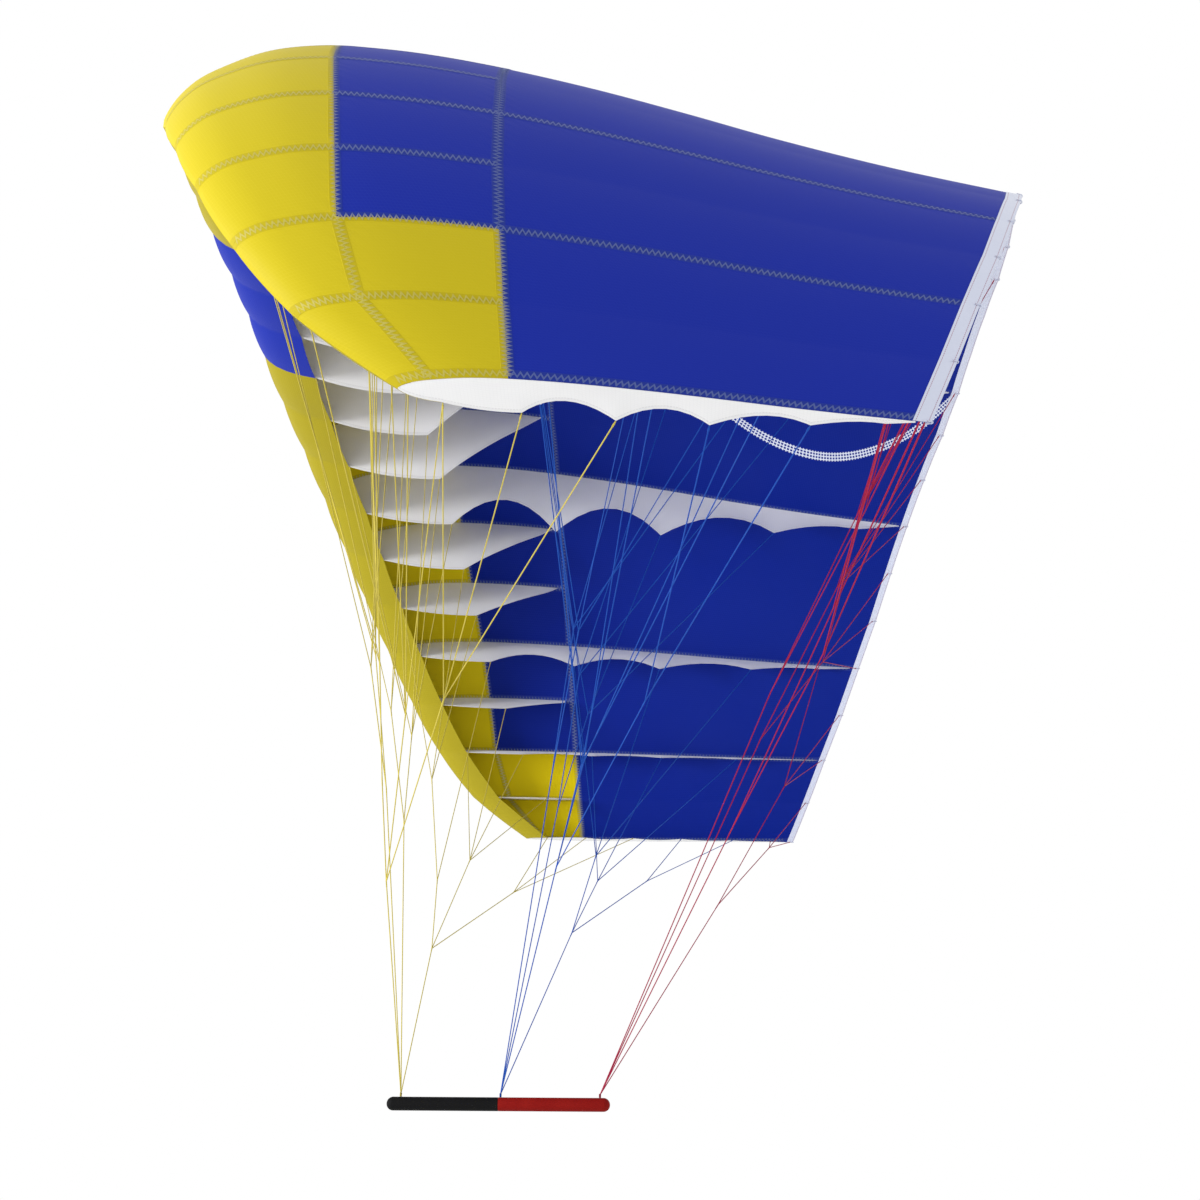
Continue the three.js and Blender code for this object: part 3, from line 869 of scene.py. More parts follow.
@dataclass
class Draft:
    """A mesh in the making, with what each of its points carries."""

    points: list[Array] = field(default_factory=list)
    faces: list[tuple[int, ...]] = field(default_factory=list)
    uvs: list[Array] = field(default_factory=list)
    numbers: dict[str, list[Array]] = field(default_factory=dict)
    count: int = 0

    def add(self, points: Array, faces: Iterable[Sequence[int]], uvs: Array, **numbers: Array) -> None:
        """Adds a part of the mesh.

        Args:
            points: Its points, one a row.
            faces: Its faces, as places in points.
            uvs: Its place on the cloth, one row a point.
            **numbers: What else each point carries, one number a point.
        """
        base = self.count
        self.points.append(points)
        self.uvs.append(uvs)
        self.faces.extend(tuple(corner + base for corner in face) for face in faces)
        for name, column in numbers.items():
            self.numbers.setdefault(name, []).append(column)
        self.count += len(points)

    def shell(self, outer: Array, inner: Array, uvs: Array, **numbers: Array) -> None:
        """Adds a thin closed sheet from two grids of points, its outer face and its inner one.

        Args:
            outer: The outer face's points, rows by columns by 3.
            inner: The inner face's points, matching the outer ones.
            uvs: The place on the cloth of each point of a face.
            **numbers: What else each point of a face carries, rows by columns.
        """
        rows, columns = outer.shape[:2]
        size = rows * columns
        grid = np.arange(size).reshape(rows, columns)
        corners = (grid[:-1, :-1], grid[:-1, 1:], grid[1:, 1:], grid[1:, :-1])
        top = np.stack(corners, axis=-1).reshape(-1, 4)
        rim = np.concatenate([grid[0, :], grid[1:, -1], grid[-1, -2::-1], grid[-2:0:-1, 0]])
        following = np.roll(rim, -1)
        walls = np.stack([following, rim, rim + size, following + size], axis=-1)
        faces = np.concatenate([top, top[:, ::-1] + size, walls])
        outside = np.concatenate([np.ones(size), np.zeros(size)])
        doubled = {name: np.tile(column.reshape(-1), 2) for name, column in numbers.items()}
        points = np.concatenate([outer.reshape(-1, 3), inner.reshape(-1, 3)])
        self.add(points, faces.tolist(), np.tile(uvs.reshape(-1, 2), (2, 1)), outside=outside, **doubled)

    def loft(self, rings: Array, run: Array, **numbers: Array) -> None:
        """Adds a closed skin over a row of rings.

        Args:
            rings: The rings' points, one ring a row.
            run: How far along the piece each ring is.
            **numbers: What else each ring carries, one number a ring.
        """
        count, sides = rings.shape[:2]
        grid = np.arange(count * sides).reshape(count, sides)
        after = np.roll(grid, -1, axis=1)
        walls = np.stack([grid[:-1], after[:-1], after[1:], grid[1:]], axis=-1).reshape(-1, 4)
        faces = [*walls.tolist(), grid[0, ::-1].tolist(), grid[-1].tolist()]
        uvs = np.stack(np.broadcast_arrays(np.arange(sides)[None] / sides, run[:, None]), axis=-1)
        carried = {name: np.repeat(column, sides) for name, column in numbers.items()}
        self.add(rings.reshape(-1, 3), faces, uvs.reshape(-1, 2), **carried)

    def tube(self, path: Array, radius: float, sides: int = 8) -> None:
        """Adds a closed round tube along a path.

        Args:
            path: The points of its centreline.
            radius: Half its thickness.
            sides: How many sides it has.
        """
        aims = unit(np.gradient(path, axis=0))
        spare = np.array((1.0, 0.0, 0.0) if abs(aims[0][0]) < 0.8 else (0.0, 1.0, 0.0))
        side = unit(np.cross(aims, spare))
        lift = np.cross(aims, side)
        angles = (2 * np.pi * np.arange(sides) / sides)[None, :, None]
        spokes = np.cos(angles) * side[:, None] + np.sin(angles) * lift[:, None]
        self.loft(path[:, None] + radius * spokes, run_along(path))

    def build(
        self, name: str, material: bpy.types.Material, slot: Slot, angle: float = SHEET_FOLD
    ) -> bpy.types.Object:
        """Makes the object, smooth but for its sharp edges, and lets it ride with the wing.

        Args:
            name: The piece's name.
            material: Its finish.
            slot: The record's slot that the finish belongs to.
            angle: The sharpest fold, in degrees, that is still shaded smooth.

        Returns:
            The object.
        """
        mesh = bpy.data.meshes.new(name)
        mesh.from_pydata(np.concatenate(self.points).tolist(), [], self.faces)
        uvs = np.concatenate(self.uvs)
        corners = np.zeros(len(mesh.loops), dtype=np.int32)
        mesh.loops.foreach_get("vertex_index", corners)
        mesh.uv_layers.new(name="cloth").data.foreach_set("uv", uvs[corners].reshape(-1))
        for label, columns in self.numbers.items():
            carried = mesh.attributes.new(label, "FLOAT", "POINT")
            carried.data.foreach_set("value", np.concatenate(columns))
        mesh.materials.append(material)
        piece = bpy.data.objects.new(name, mesh)
        bpy.context.scene.collection.objects.link(piece)
        bpy.ops.object.select_all(action="DESELECT")
        piece.select_set(True)
        bpy.context.view_layer.objects.active = piece
        bpy.ops.object.shade_smooth_by_angle(angle=math.radians(angle))
        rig.slot(piece, slot.value)
        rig.ride(piece, BODY)
        return piece


# The wing's shape


@dataclass(frozen=True)
class RibRow:
    """The sizes of a rib and its mirror.

    width is the cell inboard of the rib and lean its tilt outwards in degrees. nose and tail are
    X, rise is how far the nose sits off the tail along the rib and lift how far above it besides.
    front and middle are the spanwise seams and crown the height of the arched section over the
    line from nose to tail, as shares of the chord.
    """

    name: str
    full: bool
    width: float
    lean: float
    nose: float
    tail: float
    rise: float
    lift: float
    front: float
    middle: float
    crown: float


RIBS = (
    RibRow("01", False, 0.082, 1.5, -0.641, 1.013, 0.143, -0.020, 0.221, 0.404, 0.112),
    RibRow("02", True, 0.165, 6.5, -0.640, 1.011, 0.143, -0.018, 0.219, 0.403, 0.112),
    RibRow("03", False, 0.165, 12.5, -0.629, 0.998, 0.141, -0.015, 0.217, 0.403, 0.112),
    RibRow("04", False, 0.163, 19.3, -0.605, 0.974, 0.137, -0.011, 0.215, 0.402, 0.112),
    RibRow("05", True, 0.159, 26.5, -0.575, 0.948, 0.132, -0.005, 0.212, 0.402, 0.111),
    RibRow("06", False, 0.152, 34.0, -0.541, 0.920, 0.127, 0.004, 0.208, 0.400, 0.106),
    RibRow("07", False, 0.146, 43.0, -0.498, 0.889, 0.120, 0.013, 0.203, 0.395, 0.096),
    RibRow("08", True, 0.137, 52.5, -0.444, 0.850, 0.112, 0.019, 0.196, 0.388, 0.084),
    RibRow("09", False, 0.131, 61.5, -0.381, 0.808, 0.103, 0.022, 0.179, 0.376, 0.074),
    RibRow("10", True, 0.123, 70.0, -0.305, 0.761, 0.092, 0.021, 0.146, 0.358, 0.067),
    RibRow("11", False, 0.115, 77.0, -0.205, 0.716, 0.080, 0.018, 0.105, 0.318, 0.060),
    RibRow("12", True, 0.106, 82.5, -0.054, 0.671, 0.062, 0.016, 0.067, 0.210, 0.053),
)

# The section, from the free edge of the strip under the nose to the tail. Each pair is the share
# of the chord aft of the nose, and the share of the chord or of the crown above the chord line.
UNDER_NOSE = ((0.078, -0.036), (0.05, -0.031), (0.022, -0.021), (0.006, -0.009))
OVER_NOSE = (
    (0.0, 0.0), (0.011, 0.22), (0.04, 0.5), (0.08, 0.71), (0.13, 0.89), (0.195, 0.99), (0.25, 1.0),
    (0.31, 0.98), (0.39, 0.91), (0.5, 0.765), (0.61, 0.58), (0.72, 0.38), (0.85, 0.18), (1.0, 0.0),
)
NOSE_SHARE = len(UNDER_NOSE) / (len(UNDER_NOSE) + len(OVER_NOSE) - 1)
ROW_SAMPLES = 160


def curve_points(knots: Array, shares: Array) -> Array:
    """Points of a centripetal Catmull-Rom curve.

    Args:
        knots: The points that it passes through.
        shares: Places along it, from 0 to 1.

    Returns:
        One point for each share.
    """
    last = len(knots) - 1
    low = np.minimum((shares * last).astype(int), last - 1)
    t = (shares * last - low)[:, None]
    ends = np.vstack([2 * knots[0] - knots[1], knots, 2 * knots[-1] - knots[-2]])
    a, b, c, d = (ends[low + step] for step in range(4))
    legs = (b - a, c - b, d - c)
    before, between, after = (np.linalg.norm(leg, axis=1, keepdims=True) ** 0.5 for leg in legs)
    leave = (b - a) / before - (c - a) / (before + between) + (c - b) / between
    reach = (c - b) / between - (d - b) / (between + after) + (d - c) / after
    leave, reach = leave * between, reach * between
    square = 3 * (c - b) - 2 * leave - reach
    cube = 2 * (b - c) + leave + reach
    return b + leave * t + square * t**2 + cube * t**3


class Station:
    """A rib's place in the wing, with the section of the skin over it."""

    def __init__(self, row: RibRow, side: Side, y: float, height: float) -> None:
        """Sets up the frame of the rib.

        Args:
            row: The rib's sizes.
            side: Which half it is in.
            y: How far its tail is from the middle.
            height: The height of its tail.
        """
        lean = math.radians(row.lean)
        self.row = row
        self.side = side
        self.name = f"{side.label}_{row.name}"
        self.up = np.array((0.0, side.value * math.sin(lean), math.cos(lean)))
        self.tail = np.array((row.tail, side.value * y, height))
        self.nose = np.array((row.nose, side.value * y, height + row.lift)) + self.up * row.rise
        self.run = self.tail - self.nose
        self.aft = unit(self.run)
        self.across = unit(np.cross(self.up, self.run))
        self.chord = row.tail - row.nose
        self.knots = np.array([*UNDER_NOSE, *((s, arch * row.crown) for s, arch in OVER_NOSE)])
        self._sample()

    def _sample(self) -> None:
        """Samples the skin's middle surface over the rib, and its outward normals."""
        marks = [0.0, NOSE_SHARE, self._reach(self.row.front), self._reach(self.row.middle), 1.0]
        self.places = np.linspace(FREE_EDGE, TAIL, ROW_SAMPLES * TAIL + 1)
        shares = np.interp(self.places, range(5), marks)
        self.section = curve_points(self.knots, shares)
        self.points = self.place(self.section[:, 0], self.section[:, 1])
        self.normals = unit(np.cross(np.gradient(self.points, axis=0), self.across))
        self.girth = run_along(self.points)

    def _reach(self, s: float) -> float:
        """The place along the section curve where its upper side is at the share s."""
        shares = np.linspace(NOSE_SHARE, 1.0, 4000)
        return float(np.interp(s, curve_points(self.knots, shares)[:, 0], shares))

    def place(self, s: Any, h: Any) -> Array:
        """Points of the rib's plane.

        Args:
            s: Shares of the chord aft of the nose.
            h: Shares of the chord above the line from nose to tail.

        Returns:
            One point for each pair.
        """
        lift = np.multiply.outer(np.asarray(h) * self.chord, self.up)
        return self.nose + np.multiply.outer(s, self.run) + lift

    def skin_height(self, s: Any) -> Any:
        """How high the skin is over the share s, as a share of the chord."""
        upper = self.section[ROW_SAMPLES:]
        return np.interp(s, upper[:, 0], upper[:, 1])

    def share_of(self, points: Array) -> Array:
        """The share of the chord aft of the nose at which points lie."""
        return (points[..., 0] - self.nose[0]) / self.run[0]


class Skin:
    """The whole skin's middle surface.

    A place on it is u, the number of cells from the left tip, and v, from the strip's free edge
    at 0, over the nose at 1 and the spanwise seams at 2 and 3, to the tail at 4.
    """

    normal_step = 0.01

    def __init__(self) -> None:
        """Lays out the stations and joins their sections."""
        self.right = self._stations(Side.RIGHT)
        self.left = self._stations(Side.LEFT)
        self.all = [*reversed(self.left), *self.right]
        self.points = np.array([station.points for station in self.all])
        self.normals = np.array([station.normals for station in self.all])
        self.girths = np.array([station.girth for station in self.all])
        self.places = self.all[0].places
        self.widths = np.linalg.norm(np.diff(self.points[:, 0], axis=0), axis=1)
        self.spans = np.concatenate([[0.0], np.cumsum(self.widths)])
        self.last = len(self.all) - 1

    def _stations(self, side: Side) -> list[Station]:
        """Lays one half's cells end to end along the arch.

        Args:
            side: The half.

        Returns:
            Its stations, from the middle outwards.
        """
        y, height = 0.0, TAIL_HEIGHT
        lean = -RIBS[0].lean
        stations = []
        for row in RIBS:
            angle = math.radians(0.0 if row is RIBS[0] else (lean + row.lean) / 2)
            y += row.width * math.cos(angle)
            height -= row.width * math.sin(angle)
            lean = row.lean
            stations.append(Station(row, side, y, height))
        return stations

    def _read(self, table: Array, station: Array, v: Array) -> Array:
        """Reads a table of the stations at places along their sections.

        Args:
            table: What each sample of each station's section holds.
            station: The stations' numbers.
            v: Places along the sections.

        Returns:
            What the table holds at each place.
        """
        place = np.clip(v * ROW_SAMPLES, 0, table.shape[1] - 1.001)
        low = place.astype(int)
        return blend(table[station, low], table[station, low + 1], place - low)

    def _cell(self, u: Array) -> tuple[Array, Array]:
        """The cell that u is in, and the share of the way across it."""
        cell = np.clip(np.floor(u).astype(int), 0, self.last - 1)
        return cell, u - cell

    def at(self, u: Any, v: Any) -> Array:
        """Points of the middle surface, bulged outwards as air fills each cell.

        Args:
            u: Places across the cells.
            v: Places along the section.

        Returns:
            One point for each place.
        """
        u, v = matched(u, v)
        cell, share = self._cell(u)
        flat = blend(self._read(self.points, cell, v), self._read(self.points, cell + 1, v), share)
        normals = blend(self._read(self.normals, cell, v), self._read(self.normals, cell + 1, v), share)
        bulge = self.widths[cell] * CELL_BULGE * 4 * share * (1 - share)
        return flat + unit(normals) * bulge[..., None]

    def out(self, u: Any, v: Any) -> Array:
        """Outward normals of the middle surface.

        Args:
            u: Places across the cells.
            v: Places along the section.

        Returns:
            One direction for each place.
        """
        u, v = matched(u, v)
        step = self.normal_step
        across = self.at(np.minimum(u + step, self.last), v) - self.at(np.maximum(u - step, 0), v)
        along = self.at(u, np.minimum(v + step, TAIL)) - self.at(u, np.maximum(v - step, 0))
        return unit(np.cross(along, across))

    def girth(self, u: Any, v: Any) -> Array:
        """How far round the section places are from the strip's free edge.

        Args:
            u: Places across the cells.
            v: Places along the section.

        Returns:
            One distance for each place, in metres.
        """
        u, v = matched(u, v)
        cell, share = self._cell(u)
        return blend(self._read(self.girths, cell, v), self._read(self.girths, cell + 1, v), share)

    def v_at(self, u: float, girth: Any) -> Array:
        """The place along the section at a distance from the strip's free edge."""
        cell, share = self._cell(np.asarray(u, float))
        return np.interp(girth, blend(self.girths[cell], self.girths[cell + 1], share), self.places)

    def u_at(self, span: Any) -> Array:
        """The place across the cells at a distance along the span from the left tip."""
        return np.interp(span, self.spans, np.arange(self.last + 1))


# Skin panels

# The stations between which the skin is cut: the centre bay, and the left ones from it outwards
CENTRE_BAY = (10, 13)
LEFT_BAYS = ((7, 10), (4, 7), (2, 4), (0, 2))


@dataclass(frozen=True)
class Panel:
    """One cut piece of the skin, between two stations and two places along the section."""

    name: str
    start: int
    end: int
    top: int
    bottom: int
    slot: Slot

    @property
    def half_rib_seams(self) -> bool:
        """Whether the half ribs are sewn to this panel."""
        return self.bottom <= MIDDLE_SEAM


@dataclass
class Panels:
    """All the panels of the skin and how they are cut.

    across_cell is the columns of a panel's grid inside each cell, and row_counts its rows inside
    its seams, by the place along the section at which the panel ends.
    """

    skin: Skin
    finishes: Finishes
    across_cell: int = 8
    row_counts: tuple[int, ...] = (0, 6, 26, 12, 26)

    def pieces(self) -> list[Panel]:
        """Lists how the skin is cut.

        Returns:
            The panels, by the names of their nodes.
        """
        yellow, blue = Slot.YELLOW_CLOTH, Slot.BLUE_CLOTH
        found = [Panel("nose_strip_centre", *CENTRE_BAY, FREE_EDGE, NOSE, blue)]
        found += self._bay("centre", CENTRE_BAY, blue)
        for side in Side:
            strip = self._on_side((0, CENTRE_BAY[0]), side)
            found.append(Panel(f"nose_strip_{side.label}", *strip, FREE_EDGE, NOSE, yellow))
            for number, bay in enumerate(LEFT_BAYS, 1):
                middle = yellow if number == len(LEFT_BAYS) else blue
                found += self._bay(f"{side.label}_{number}", self._on_side(bay, side), middle)
        return found

    def _on_side(self, bay: tuple[int, int], side: Side) -> tuple[int, int]:
        """The stations at a left bay's two ends, or at its mirror's on the right."""
        return bay if side is Side.LEFT else (self.skin.last - bay[1], self.skin.last - bay[0])

    @staticmethod
    def _bay(label: str, ends: tuple[int, int], middle: Slot) -> list[Panel]:
        """Cuts one bay into its three panels.

        Args:
            label: The bay's name, as the nodes spell it.
            ends: The stations at its two ends.
            middle: The cloth of its middle panel.

        Returns:
            The front, middle and rear panels.
        """
        return [
            Panel(f"front_panel_{label}", *ends, NOSE, FRONT_SEAM, Slot.YELLOW_CLOTH),
            Panel(f"middle_panel_{label}", *ends, FRONT_SEAM, MIDDLE_SEAM, middle),
            Panel(f"rear_panel_{label}", *ends, MIDDLE_SEAM, TAIL, Slot.BLUE_CLOTH),
        ]

    def build(self) -> None:
        """Makes every panel."""
        for panel in self.pieces():
            self._sew(panel)

    def is_blue(self, u: Array, v: Array) -> Array:
        """Finds the places that lie on blue cloth.

        Args:
            u: Places across the cells.
            v: Places along the section.

        Returns:
            1 for each place on blue cloth and 0 for each other one.
        """
        marks = np.zeros(np.shape(u))
        for panel in self.pieces():
            across = (u >= panel.start) & (u <= panel.end)
            along = (v >= panel.top) & (v <= panel.bottom)
            marks[across & along] = panel.slot is Slot.BLUE_CLOTH
        return marks

    def _seam_at(self, panel: Panel, station: int) -> float:
        """How wide the doubled cloth is beside a station.

        Args:
            panel: The panel.
            station: The station's number.

        Returns:
            The width, or nought where no seam runs.
        """
        if panel.top == FREE_EDGE:
            return 0.0
        if station in (0, self.skin.last):
            return 2 * SEAM_MARGIN
        sewn = self.skin.all[station].row.full or panel.half_rib_seams
        return SEAM_MARGIN if sewn else 0.0

    @staticmethod
    def _past(distance: Array, seam: float) -> Array:
        """How far places are past the stitches of a seam.

        Args:
            distance: How far the places are from the panel's edge.
            seam: How wide the seam's doubled cloth is, or nought where there is none.

        Returns:
            One distance for each place.
        """
        if not seam:
            return np.full(len(distance), FAR_FROM_SEAMS)
        return np.maximum(0.0, distance - (seam - SEAM_MARGIN))

    def _columns(self, panel: Panel) -> tuple[Array, Array, Array]:
        """The columns of a panel's grid.

        Args:
            panel: The panel.

        Returns:
            Their places u, how far each is from the nearest rib seam, and whether it is doubled.
        """
        us, gaps, doubled = [], [], []
        for cell in range(panel.start, panel.end):
            width = self.skin.widths[cell]
            near, far = self._seam_at(panel, cell), self._seam_at(panel, cell + 1)
            start, end = max(near, SEAM_MARGIN), width - max(far, SEAM_MARGIN)
            inner = np.linspace(start + SEAM_LIP, end - SEAM_LIP, self.across_cell)
            closing = [end, width] if cell == panel.end - 1 else [end]
            spots = np.array([0.0, start, *inner, *closing])
            us.extend(cell + spots / width)
            gaps.extend(np.minimum(self._past(spots, near), self._past(width - spots, far)))
            doubled += [near > 0] * 2 + [False] * len(inner) + [far > 0] * len(closing)
        if panel.start:
            us[0] += SEAM_GAP / 2 / self.skin.widths[panel.start]
        if panel.end < self.skin.last:
            us[-1] -= SEAM_GAP / 2 / self.skin.widths[panel.end - 1]
        return np.array(us), np.array(gaps), np.array(doubled)

    def _rows(self, panel: Panel, u: float) -> tuple[Array, Array, Array]:
        """The rows of a panel's grid in one of its columns.

        Args:
            panel: The panel.
            u: The column's place.

        Returns:
            Their places v, how far each is from the nearest spanwise seam, and whether it is doubled.
        """
        start, end = (float(self.skin.girth(u, v)) for v in (panel.top, panel.bottom))
        before, after = (SEAM_MARGIN * (v in (FRONT_SEAM, MIDDLE_SEAM)) for v in (panel.top, panel.bottom))
        trim_before = SEAM_GAP / 2 if panel.top != FREE_EDGE else 0.0
        trim_after = SEAM_GAP / 2 if panel.bottom != TAIL else 0.0
        edge = SEAM_MARGIN + SEAM_LIP
        first, last = self.skin.v_at(u, np.array((start + edge, end - edge)))
        inner = self.skin.girth(u, np.linspace(first, last, self.row_counts[panel.bottom]))
        closing = [end - SEAM_MARGIN, end - trim_after]
        spots = np.array([start + trim_before, start + SEAM_MARGIN, *inner, *closing])
        doubled = [before > 0] * 2 + [False] * len(inner) + [after > 0] * 2
        gaps = np.minimum(self._past(spots - start, before), self._past(end - spots, after))
        return self.skin.v_at(u, spots), gaps, np.array(doubled)

    def _cloth(self, panel: Panel) -> bpy.types.Material:
        """Picks a panel's finish: striped at the rear, and a darker yellow with painted shade for the strip under the
        nose.

        Args:
            panel: The panel.

        Returns:
            Its material.
        """
        if panel.slot is Slot.YELLOW_CLOTH:
            # The strip under the nose gets the yellow with painted shade.
            return self.finishes.turned_cloth if panel.top == FREE_EDGE else self.finishes.yellow_cloth
        return self.finishes.striped_cloth if panel.top == MIDDLE_SEAM else self.finishes.blue_cloth

    def _sew(self, panel: Panel) -> None:
        """Makes one panel as a thin sheet, thicker where it is doubled along its seams.

        Args:
            panel: The panel.
        """
        us, column_gaps, column_doubled = self._columns(panel)
        v, row_gaps, row_doubled = (np.array(rows) for rows in zip(*(self._rows(panel, u) for u in us)))
        seam = np.minimum(row_gaps, column_gaps[:, None])
        doubled = row_doubled | column_doubled[:, None]
        u = np.broadcast_to(us[:, None], v.shape)
        middle, out = self.skin.at(u, v), self.skin.out(u, v)
        half = (CLOTH_HALF + SEAM_RAISE * doubled)[..., None]
        span = np.interp(u, np.arange(self.skin.last + 1), self.skin.spans)
        girth = self.skin.girth(u, v)
        draft = Draft()
        draft.shell(middle + out * half, middle - out * half, np.stack([span, girth], axis=-1), seam=seam)
        piece = draft.build(panel.name + "_cloth", self._cloth(panel), panel.slot)
        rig.replaces(piece, panel.name)
        flat, area = flat_size(middle)
        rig.sheet(piece, flat=flat, held="stretched", area=area)
        log.info("%s: cut %.3f x %.3f m, %.3f m2", panel.name, *flat, area)


def flat_size(grid: Array) -> tuple[tuple[float, float], float]:
    """Measures the cloth that a grid of points on it takes.

    Args:
        grid: Points of the cloth, columns by rows by 3.

    Returns:
        The width and length that it is cut from, and its area.
    """
    width = np.linalg.norm(np.diff(grid, axis=0), axis=-1).sum(axis=0).max()
    length = np.linalg.norm(np.diff(grid, axis=1), axis=-1).sum(axis=1).max()
    first, second = grid[1:, 1:] - grid[:-1, :-1], grid[1:, :-1] - grid[:-1, 1:]
    area = np.linalg.norm(np.cross(first, second), axis=-1).sum() / 2
    return (float(width), float(length)), float(min(area, width * length))


# Stitches


@dataclass
class Stitches:
    """The zigzag stitches that hold the skin to the ribs and its panels to each other.

    sunk is how deep the thread lies in the cloth, as a share of its height, and sharpest limits
    how far a turn's corner sticks out.
    """

    skin: Skin
    panels: Panels
    finishes: Finishes
    pitch: float = 0.0088
    reach: float = 0.0050
    half_width: float = 0.0011
    height: float = 0.0005
    sunk: float = 0.3
    sharpest: float = 0.05
    clear_of_nose: float = 0.012
    clear_of_tips: float = 0.004

    def build(self) -> None:
        """Makes the stitches of each face as one piece."""
        faces = {"outside": 1, "inside": -1}
        for label, face in faces.items():
            thread = getattr(self.finishes, f"thread_{label}")
            draft = Draft()
            for u, v in (*self._rib_seams(), *self._spanwise_seams()):
                self._zigzag(draft, u, v, face)
            draft.build(f"seam_stitches_{label}", thread, Slot.EDGE_TAPE, TUBE_FOLD)

    def _swing(self, count: int) -> Array:
        """How far each turn of a zigzag is to one side of its seam."""
        return self.reach * np.where(np.arange(count) % 2, 1.0, -1.0)

    def _rib_seams(self) -> Iterable[tuple[Array, Array]]:
        """Yields the turns of the zigzag over each rib as places u and v."""
        for number, station in enumerate(self.skin.all):
            end = TAIL if station.row.full else MIDDLE_SEAM
            stop = float(self.skin.girth(number, end)) - (TAPE_OUTSIDE if end == TAIL else 0.0)
            start = float(self.skin.girth(number, NOSE)) + self.clear_of_nose
            girths = np.arange(start, stop, self.pitch / 2)
            swing = self._swing(len(girths))
            inboard = {0: SEAM_MARGIN, self.skin.last: -SEAM_MARGIN}.get(number, 0.0)
            width = self.skin.widths[min(number, self.skin.last - 1)]
            yield number + (inboard + swing) / width, self.skin.v_at(number, girths)

    def _spanwise_seams(self) -> Iterable[tuple[Array, Array]]:
        """Yields the turns of the zigzag along each spanwise seam as places u and v."""
        stop = self.skin.spans[-1] - self.clear_of_tips
        spans = np.arange(self.clear_of_tips, stop, self.pitch / 2)
        us = self.skin.u_at(spans)
        for seam in (FRONT_SEAM, MIDDLE_SEAM):
            girths = self.skin.girth(us, seam) + self._swing(len(us))
            yield us, np.array([float(self.skin.v_at(u, girth)) for u, girth in zip(us, girths)])

    def _zigzag(self, draft: Draft, u: Array, v: Array, face: int) -> None:
        """Adds a flat thread through the turns of a zigzag.

        Args:
            draft: The mesh that it goes into.
            u: The turns' places across the cells.
            v: The turns' places along the section.
            face: 1 for the outside of the cloth and -1 for the inside.
        """
        out = self.skin.out(u, v) * face
        turns = self.skin.at(u, v) + out * (CLOTH_HALF + SEAM_RAISE + self.height * self.sunk)
        middles = (turns[:-1] + turns[1:]) / 2
        centres = np.concatenate([middles[:1], (middles[:-1] + middles[1:]) / 2, middles[-1:]])
        swing = unit(turns - centres)
        swing[0], swing[-1] = -swing[1], -swing[-2]
        stroke = unit(np.diff(turns, axis=0))
        slant = np.abs(np.einsum("ij,ij->i", stroke, swing[1:]))
        wide = self.half_width / np.sqrt(np.maximum(1 - slant**2, self.sharpest))
        wide = np.concatenate([wide, wide[-1:]])[:, None]
        aside, lift = swing * wide, out * self.height / 2
        rings = np.stack([turns + aside, turns + lift, turns - aside, turns - lift], axis=1)
        rings[1::2, [0, 2]] = rings[1::2, [2, 0]]
        run = np.arange(len(turns)) * np.linalg.norm(turns[1] - turns[0])
        draft.loft(rings, run, over_blue=self.panels.is_blue(u, v))


# Ribs

TABS = {
    "A": (0.228, 0.053),
    "B": (0.406, 0.060),
    "C": (0.584, 0.055),
    "D": (0.775, 0.034),
    "E": (0.916, 0.013),
}
HOLLOWS = ((0.315, 0.47), (0.497, 0.48), (0.685, 0.48), (0.85, 0.3))
HALF_RIB_CURVE = ((0.265, 0.27), (0.315, 0.58), (0.365, 0.86))
FRONT_EDGE_SAG = 0.008
RIB_TAIL_INSET = 0.020
RIB_TAIL_HEIGHT = 0.003


